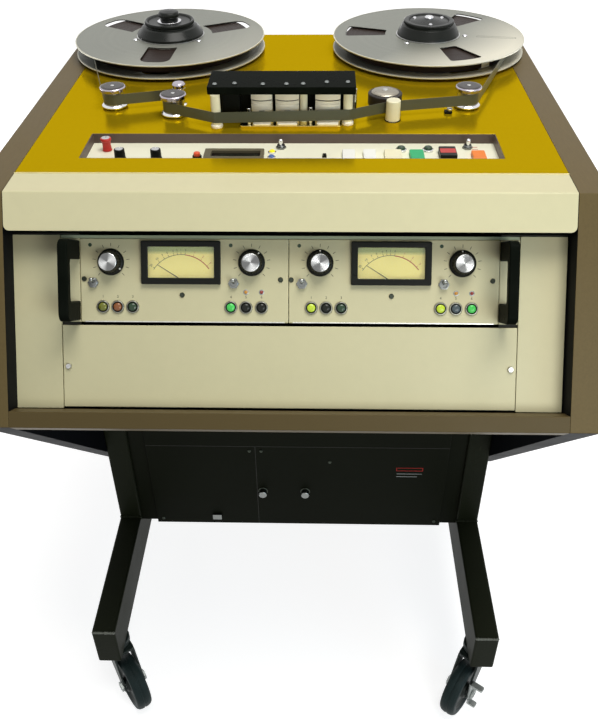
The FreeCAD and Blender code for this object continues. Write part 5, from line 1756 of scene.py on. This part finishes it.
class RECORDER_OT_channel_controls(bpy.types.Operator):
    """Make the fluted knobs, toggles and lensed buttons of the two channels."""
    bl_idname = "recorder.channel_controls"
    bl_label = "Channel controls"

    def execute(self, context):
        flutes = context.scene.recorder_sizes.knob_flutes
        turns = {("1", "left"): -125.0, ("1", "right"): -38.0, ("2", "left"): 0.0, ("2", "right"): 4.0}
        for (number, side), turn in turns.items():
            name = f"channel_{number}_{side}_knob"
            channel_knob(name, joint_place(name + "_turn") @ spin(turn), flutes)
        levers = Piece("channel_toggle_levers", FRONT)
        buttons = Piece("channel_button_caps", FRONT)
        dome = [(0, FACE + 1.8), (4.4, FACE + 1.8), (4.2, FACE + 3.0), (2.4, FACE + 3.9), (0, FACE + 4.0)]
        for module, lenses in zip(MODULES, BUTTON_LENSES):
            for place in TOGGLE_PLACES:
                levers.add(toggle_lever(*on_panel(place, TOGGLE_DOWN, module), FACE, -12), "dull steel")
            for place, name in zip(BUTTON_PLACES, lenses):
                x, y = on_panel(place, BUTTON_DOWN, module)
                buttons.add(disc(5.4, FACE - 8, FACE + 2.0, x, y, 32), "soft black")
                buttons.add(turned(dome, 1.2, x, y, 32, steps=5), name)
        levers.make("chrome", "channel_switches", body="channel_switches")
        buttons.make("black_plastic", "channel_buttons", body="channel_buttons")
        return {"FINISHED"}


class RECORDER_OT_rack(bpy.types.Operator):
    """Make the blank panel with its screws and the two rack handles."""
    bl_idname = "recorder.rack"
    bl_label = "Blank panel and handles"

    def execute(self, context):
        high = -(RACK_TOP + RACK_HEIGHT + RACK_GAP)
        low = high - RACK_HEIGHT
        blank = Piece("blank_sheet", FRONT)
        blank.add(slab(-RACK_HALF, RACK_HALF, low, high, 0.6, PANEL_BACK, FACE, 0.7, 3), "panel cream")
        places = [(side * 235.3, (low + high) / 2, FACE + 0.9) for side in (-1, 1)]
        blank.add(screws(places, 3.4, 2.0, 0.9, 8), "steel")
        blank.make("cream_paint", "blank_panel")
        grips = Piece("rack_grips", FRONT)
        top = FACE + 46.0
        outer = outline([(-132, FACE), (-48, FACE), (-48, top, 9), (-132, top, 9)])
        inner = outline([(-112, FACE - 0.4), (-68, FACE - 0.4), (-68, top - 11, 5), (-112, top - 11, 5)])
        arch = outer[:1] + [(-112, FACE)] + inner[:1:-1] + [(-68, FACE)] + outer[1:]
        for side in (1, -1):
            grips.add(on_side(side_plate([arch], 220.8, 231.2, 1.6, 4), side), "worn black")
        grips.make("black_paint", "rack_handles")
        places = [(side * 236.6, y, FACE + 0.6) for side in (-1, 1) for y in (-52, -128)]
        Piece("ear_screws", FRONT).add(screws(places, 3.6, 1.4, 0.9, 2), "steel").make("steel")
        return {"FINISHED"}


# Stand

LEG_OUTER = 292.0
LEG_WIDTH = 34.0
BEAM_TOP = -658.0
BEAM_BOTTOM = -730.0
BEAM_FRONT = -73.0
BEAM_BACK = 520.0
UPRIGHTS = (146.0, 440.0)
UPRIGHT_DEPTH = 51.0
UPRIGHT_TOP = -236.0
UNIT_HALF = 231
UNIT_SCREWS = ((50, -527), (-221, -457), (221, -457), (-221, -660), (221, -660), (-73, -505), (-55, -505))
AXLE = -800.5
TRAIL = 38.0
CASTERS = ("front_left", "front_right", "rear_left", "rear_right")


def bead_tree():
    """A weld: overlapping flattened drops along a row of points, each a little different."""
    tree, value, result = node_tree("weld bead", Radius=2.2, Seed=1)
    drop = tree_node(tree, "GeometryNodeMeshIcoSphere", Radius=value["Radius"], Subdivisions=2)
    size = tree_node(tree, "FunctionNodeRandomValue", {"data_type": "FLOAT"}, Seed=value["Seed"])
    size.inputs[2].default_value = 0.8
    size.inputs[3].default_value = 1.2
    return scattered(tree, value, result, drop.outputs[0], Scale=size.outputs[1])


def bead_points(left, right, y, z, margin=2, pitch=1.9):
    """Points of a weld that runs across a tube."""
    start, end = Vector((left + margin, y, z)), Vector((right - margin, y, z))
    count = max(2, int((end - start).length / pitch))
    return [tuple(start.lerp(end, i / count)) for i in range(count + 1)]


class RECORDER_OT_stand(bpy.types.Operator):
    """Make the two welded frames of the stand, with their weld beads."""
    bl_idname = "recorder.stand"
    bl_label = "Stand frames"

    def execute(self, context):
        stand = Piece("stand_welded_frames")
        nose_welds = []
        for ends in two_sides(LEG_OUTER - LEG_WIDTH, LEG_OUTER):
            stand.add(bar(*ends, BEAM_FRONT, BEAM_BACK, BEAM_BOTTOM, BEAM_TOP, 3.0, 4), "stand paint")
            for front in UPRIGHTS:
                back = front + UPRIGHT_DEPTH
                stand.add(bar(*ends, front, back, BEAM_TOP - 1, UPRIGHT_TOP, 2.6, 4), "stand paint")
                welds = bead_points(*ends, front, BEAM_TOP) + bead_points(*ends, back, BEAM_TOP)
                stand.add(grown(bead_tree(), welds, {"Radius": 2.4, "Seed": 3}), "stand paint")
            nose_welds += bead_points(*ends, BEAM_FRONT + 1.2, BEAM_TOP - 1.6)
        stand.add(grown(bead_tree(), nose_welds, {"Radius": 1.9, "Seed": 5}), "worn weld")
        stand.make("stand_paint", "stand_frames")
        return {"FINISHED"}


def chassis_shell(unit, front, low, high):
    """The folded shell behind the front panel, its ears, and the mains inlet in its back."""
    near, far, half, sheet = front + 3, 420, 220, 2
    bottom, top = low + 4, high - 4
    for left, right, floor, roof in tray_walls(half, bottom, top, sheet):
        unit.add(bar(left, right, near, far, floor, roof, 0.4), "chassis paint")
    unit.add(bar(-half, half, near, near + sheet, bottom, top, 0.4), "chassis paint")
    rear = [box_outline(-half, half, bottom, top, 0.5), box_outline(-12, 12, -638, -618, 1.0)]
    unit.add(upright_plate(rear, far - sheet, far, 0.4), "chassis paint")
    for inner, outer, ear in ((UNIT_HALF, LEG_OUTER - LEG_WIDTH, front + 6), (half, UNIT_HALF, near)):
        for ends in two_sides(inner, outer):
            unit.add(bar(*ends, ear, front + 9, low, high, 0.6), "chassis paint")
    mouth = [box_outline(-14, 14, -640, -616, 3.0), box_outline(-10, 10, -636, -620, 2.0)]
    unit.add(upright_plate(mouth, 420, 426, 0.6), "soft black")
    tube = [box_outline(-12, 12, -638, -618, 2.0), box_outline(-10, 10, -636, -620, 1.5)]
    unit.add(upright_plate(tube, 405, 420), "soft black")
    unit.add(bar(-12, 12, 402, 406, -638, -618, 0.2), "soft black")
    for x in (-6, 0, 6):
        unit.add(bar(x - 1, x + 1, 406, 418, -630.5, -625.5, 0.3), "steel")


class RECORDER_OT_power_unit(bpy.types.Operator):
    """Make the power unit between the uprights: front panel, seams, screws, shell and inlet."""
    bl_idname = "recorder.power_unit"
    bl_label = "Power unit"

    def execute(self, context):
        low, high = -670.0, -447.7
        front = UPRIGHTS[0]
        unit = Piece("power_unit_case")
        panel = [box_outline(-UNIT_HALF, UNIT_HALF, low, high, 0.8)]
        unit.add(upright_plate(panel, front, front + 3, 0.7, 3), "chassis paint")
        chassis_shell(unit, front, low, high)
        unit.add(bar(60, 170, 230, 330, low + 6, low + 106, 2.0), "black iron")
        for x in (-150, -90, -30):
            can = [(0, low + 6), (22, low + 6), (22, low + 100), (0, low + 100)]
            unit.add(turned(can, 2.0, x, 250, 48, steps=4), "steel")
        knob = [(0, 0), (6.5, 0), (6.5, 9), (5.4, 10), (0, 10)]
        collar = [(6.0, 0), (7.6, 0), (7.6, 0.8), (6.0, 1.2)]
        for x in (-55, 12):
            place = at(x, front, -593) @ FACING
            unit.add(moved(turned(knob, 0.5, sides=96, flutes=(24, 0.5, 0.8, 8.8)), place), "dull steel")
            unit.add(moved(turned(collar, 0.3, sides=48), place), "dark zinc")
        unit.add(bar(-139, -124, front - 5, front, -657, -646, 1.2), "dull steel")
        lines = (
            ("ink black", box_outline(-64.4, -63.6, low + 2, -496)),
            ("ink black", box_outline(-UNIT_HALF, UNIT_HALF, -496.4, -495.6)),
            ("ink red", box_outline(153, 194, -545, -538), box_outline(154, 193, -544, -539)),
            ("zinc", box_outline(154, 193, -551.6, -550.8)),
            ("zinc", box_outline(154, 186, -557.6, -556.8)),
        )
        for name, *loops in lines:
            unit.add(upright_plate(loops, front - 0.12, front + 0.2), name)
        places = [(x, z, -front + 0.5) for x, z in UNIT_SCREWS]
        unit.add(moved(screws(places, 2.8, 1.2, 0.7, 9), FACING), "dark zinc")
        unit.make("stand_paint", "power_chassis")
        return {"FINISHED"}


def fork_place(corner):
    """The frame of a caster's swivel, turned the way that its wheel rolls."""
    heading = Vector(JOINTS["roll_" + corner]["axis"])
    return joint_place("swivel_" + corner) @ Matrix.Rotation(math.atan2(heading.y, heading.x), 4, "Z")


def caster_fork(corner):
    """A swivel head with two ball races, a stem, a bent fork, and the axle with its nuts."""
    fork = Piece(f"caster_{corner}_fork", fork_place(corner))
    fork.add(turned([(0, -4), (6, -4), (6, 40), (0, 40)], 0.8, sides=32), "zinc")
    head = [(0, -12), (18.5, -12), (20, -10.5), (20, -8.2), (18.8, -6.8), (18.8, -5.6), (20, -4.2),
            (20, -1.6), (18.6, -0.4), (0, -0.4)]
    fork.add(turned(head, 0.7, sides=56), "caster steel")
    low, axle = -16, AXLE - BEAM_BOTTOM
    fork.add(slab(-17, 17, -26, 20, 6.0, low, low + 4, 0.8, 3), "caster steel")
    bend = [(y - TRAIL, z + axle) for y, z in arc(10, -180, 0, 8)]
    leg = [(-24, low + 1)] + bend + [(18, low + 1)]
    for x in (-17, 14):
        fork.add(side_plate([leg], x, x + 3, 0.6, 3), "caster steel")
    near, far = -20.5, 24.0 if corner == "front_right" else 20.5
    across = at(0, -TRAIL, axle) @ spin(90, "Y")
    for shape in (disc(5, near, far, 0, 0, 32), hexagon(8.0, near, near + 3.5), hexagon(8.0, far - 3, far)):
        fork.add(moved(shape, across), "zinc")
    fork.make("steel", "caster_fork_" + corner, body="fork_" + corner)


def flipped(section):
    return [(r, -z) for r, z in reversed(section)]


def caster_wheel(corner):
    """A wheel with a grooved hard-rubber tyre on a dished core with a hub."""
    wheel = Piece(f"caster_{corner}_wheel", joint_place("roll_" + corner))
    tread = [(33, 11), (37, 12.2), (41, 11.4), (43.4, 8.6), (44.4, 4.6), (44.5, 1.6), (43.7, 1.1)]
    tyre = tread + flipped(tread) + [(31.5, -9.4), (31.5, 9.4), tread[0]]
    wheel.add(turned(tyre, 0.8, sides=96), "tyre rubber")
    hub = [(5.05, 13), (11.2, 13), (12.2, 12), (13.6, 8.4), (24, 6.6), (29, 7.4), (32.2, 10.2)]
    wheel.add(turned(hub + flipped(hub) + hub[:1], 0.8, sides=72), "caster core")
    wheel.make("tyre_rubber", "caster_wheel_" + corner, body="wheel_" + corner)


def brake_shapes():
    """The brake lever: a ring on the axle, an arm up to its pedal and one down to its release."""
    y, axle = -TRAIL, AXLE - BEAM_BOTTOM
    near, far = 17.5, 20.5
    flats = (
        [circle(10, y, axle, 40), circle(5.05, y, axle, 32)],
        [outline([(y - 11, axle + 7), (y - 1, axle + 7), (y - 1, axle + 36, 1), (y - 11, axle + 36, 1)])],
        [outline([(y - 8, axle - 20, 1), (y + 2, axle - 20, 1), (y + 2, axle - 8), (y - 8, axle - 8)])],
    )
    for loops in flats:
        yield side_plate(loops, near, far, 0.5)
    yield slab(near, 38, y - 11, y - 1, 2.5, axle + 33, axle + 36, 0.6, 3)
    yield slab(near, 31, y - 8, y + 2, 2.5, axle - 20, axle - 17, 0.6, 3)


class RECORDER_OT_casters(bpy.types.Operator):
    """Make the four swivel casters and the brake lever of the front right one."""
    bl_idname = "recorder.casters"
    bl_label = "Casters"

    def execute(self, context):
        for corner in CASTERS:
            caster_fork(corner)
            caster_wheel(corner)
        lever = Piece("brake_pedal", fork_place("front_right"))
        for shape in brake_shapes():
            lever.add(shape, "zinc")
        lever.make("steel", "brake_lever", body="brake_lever")
        return {"FINISHED"}


# Stage

CAMERA_SPOT = (33.70, -764.72, 381.28)
CAMERA_YAW = 0.0320
CAMERA_PITCH = 0.6613
CAMERA_ROLL = -0.0117
FOCAL_PIXELS = 829.9
PICTURE_HEIGHT = 719.0
SENSOR = 36.0


def area_light(name, spot, target, size, power, tint=(1.0, 1.0, 1.0)):
    light = bpy.data.lights.new(name, "AREA")
    light.shape = "RECTANGLE"
    light.size, light.size_y = size
    light.energy = power
    light.color = tint
    lamp = bpy.data.objects.new(name, light)
    lamp.location = spot
    lamp.rotation_euler = (Vector(target) - Vector(spot)).to_track_quat("-Z", "Y").to_euler()
    bpy.context.scene.collection.objects.link(lamp)


def background_rays(shader):
    """1 for the rays that show the background: the camera's, and those off gloss and through glass."""
    kinds = [shader.add("ShaderNodeLightPath", out=name)
             for name in ("Is Camera Ray", "Is Glossy Ray", "Is Transmission Ray")]
    return kinds[0] + kinds[1] + kinds[2] > 0.5


def floor_finish():
    """Grey to the light that the object gets, near white to the eye, and darker in a shadow."""
    shader = Shader("pale floor")
    base = shader.blend(shader.noise(shader.here(), 1.5, 2.0), (0.54, 0.54, 0.54), (0.57, 0.57, 0.57))
    far = shader.window(shader.distance(shader.here()), 0.5, 1.8)
    white = shader.blend(far, (0.78, 0.78, 0.78), (1, 1, 1))
    shown = shader.blend(background_rays(shader), (0, 0, 0), white)
    return shader.surface(base_color=base, roughness=1.0, specular_ior_level=0.0, emission_color=shown,
                          emission_strength=1.0)


def set_world(scene):
    scene.world = bpy.data.worlds.new("studio")
    shader = Shader("studio", scene.world)
    light = shader.add("ShaderNodeBackground", values={"Color": (0.93, 0.96, 1.0, 1.0), "Strength": 0.16})
    white = shader.add("ShaderNodeBackground", values={"Color": (1, 1, 1, 1), "Strength": 1.0})
    mixed = shader.add("ShaderNodeMixShader", values={0: background_rays(shader), 1: light, 2: white})
    shader.add("ShaderNodeOutputWorld", values={"Surface": mixed})


def set_camera(scene):
    data = bpy.data.cameras.new("camera")
    data.lens = FOCAL_PIXELS / PICTURE_HEIGHT * SENSOR
    data.sensor_width = SENSOR
    data.clip_start, data.clip_end = 0.05, 100.0
    camera = bpy.data.objects.new("camera", data)
    turn = Matrix.Rotation(CAMERA_YAW, 4, "Z") @ Matrix.Rotation(math.pi / 2 - CAMERA_PITCH, 4, "X")
    turn = turn @ Matrix.Rotation(CAMERA_ROLL, 4, "Z")
    camera.matrix_world = Matrix.Translation(DECK @ Vector(CAMERA_SPOT)) @ turn
    scene.collection.objects.link(camera)
    scene.camera = camera


class RECORDER_OT_stage(bpy.types.Operator):
    """Set the pale floor, the soft light and the camera at the photograph's view."""
    bl_idname = "recorder.stage"
    bl_label = "Stage"

    def execute(self, context):
        scene = context.scene
        mesh = bpy.data.meshes.new("floor")
        corners = [(x * 30.0, y * 30.0, 0) for x, y in ((-1, -1), (1, -1), (1, 1), (-1, 1))]
        mesh.from_pydata(corners, [], [(0, 1, 2, 3)])
        floor = bpy.data.objects.new("floor", mesh)
        scene.collection.objects.link(floor)
        mesh.materials.append(floor_finish())
        set_world(scene)
        centre = (0, 0, 0.6)
        area_light("key", (0.45, -0.5, 3.1), centre, (1.6, 1.2), 48, (1.0, 0.985, 0.94))
        area_light("front", (0.5, -1.25, 1.0), (0, -0.3, 0.7), (0.5, 0.4), 4.2, (0.98, 1.0, 0.96))
        area_light("right", (1.5, -1.2, 0.9), centre, (0.8, 0.8), 3, (0.5, 0.97, 1.35))
        area_light("back", (0.2, 2.0, 3.2), centre, (1.6, 1.0), 5)
        for name, spot_of, power in (("rear", (-0.3, 2.4, 0.42), 16), ("left side", (-2.5, 0.6, 0.42), 14),
                                     ("right side", (2.5, 0.6, 0.42), 16)):
            area_light(name, spot_of, (0, 0, 0.5), (1.4, 0.6), power)
        set_camera(scene)
        scene.view_settings.view_transform = "Standard"
        return {"FINISHED"}


OPERATORS = (
    RECORDER_OT_stage, RECORDER_OT_boards, RECORDER_OT_rails, RECORDER_OT_nose, RECORDER_OT_deck,
    RECORDER_OT_pan, RECORDER_OT_pan_controls, RECORDER_OT_reels, RECORDER_OT_tape, RECORDER_OT_hub_locks,
    RECORDER_OT_guides, RECORDER_OT_heads, RECORDER_OT_drive, RECORDER_OT_modules, RECORDER_OT_meters,
    RECORDER_OT_channel_controls, RECORDER_OT_rack, RECORDER_OT_stand, RECORDER_OT_power_unit,
    RECORDER_OT_casters,
)


class RECORDER_PT_panel(bpy.types.Panel):
    """The recorder's pieces in the 3D view's sidebar."""
    bl_idname = "RECORDER_PT_panel"
    bl_label = "Tape recorder"
    bl_space_type = "VIEW_3D"
    bl_region_type = "UI"
    bl_category = "Recorder"

    def draw(self, context):
        for group in (context.scene.recorder_colours, context.scene.recorder_sizes):
            for name in group.__annotations__:
                self.layout.prop(group, name)
        for operator in OPERATORS:
            self.layout.operator(operator.bl_idname)


CLASSES = (RecorderColours, RecorderSizes, *OPERATORS, RECORDER_PT_panel)


def register():
    for each in CLASSES:
        bpy.utils.register_class(each)
    bpy.types.Scene.recorder_colours = PointerProperty(type=RecorderColours)
    bpy.types.Scene.recorder_sizes = PointerProperty(type=RecorderSizes)


def unregister():
    del bpy.types.Scene.recorder_colours
    del bpy.types.Scene.recorder_sizes
    for each in reversed(CLASSES):
        bpy.utils.unregister_class(each)


def main():
    register()
    for operator in OPERATORS:
        getattr(bpy.ops.recorder, operator.bl_idname.removeprefix("recorder."))()


if __name__ == "__main__":
    main()
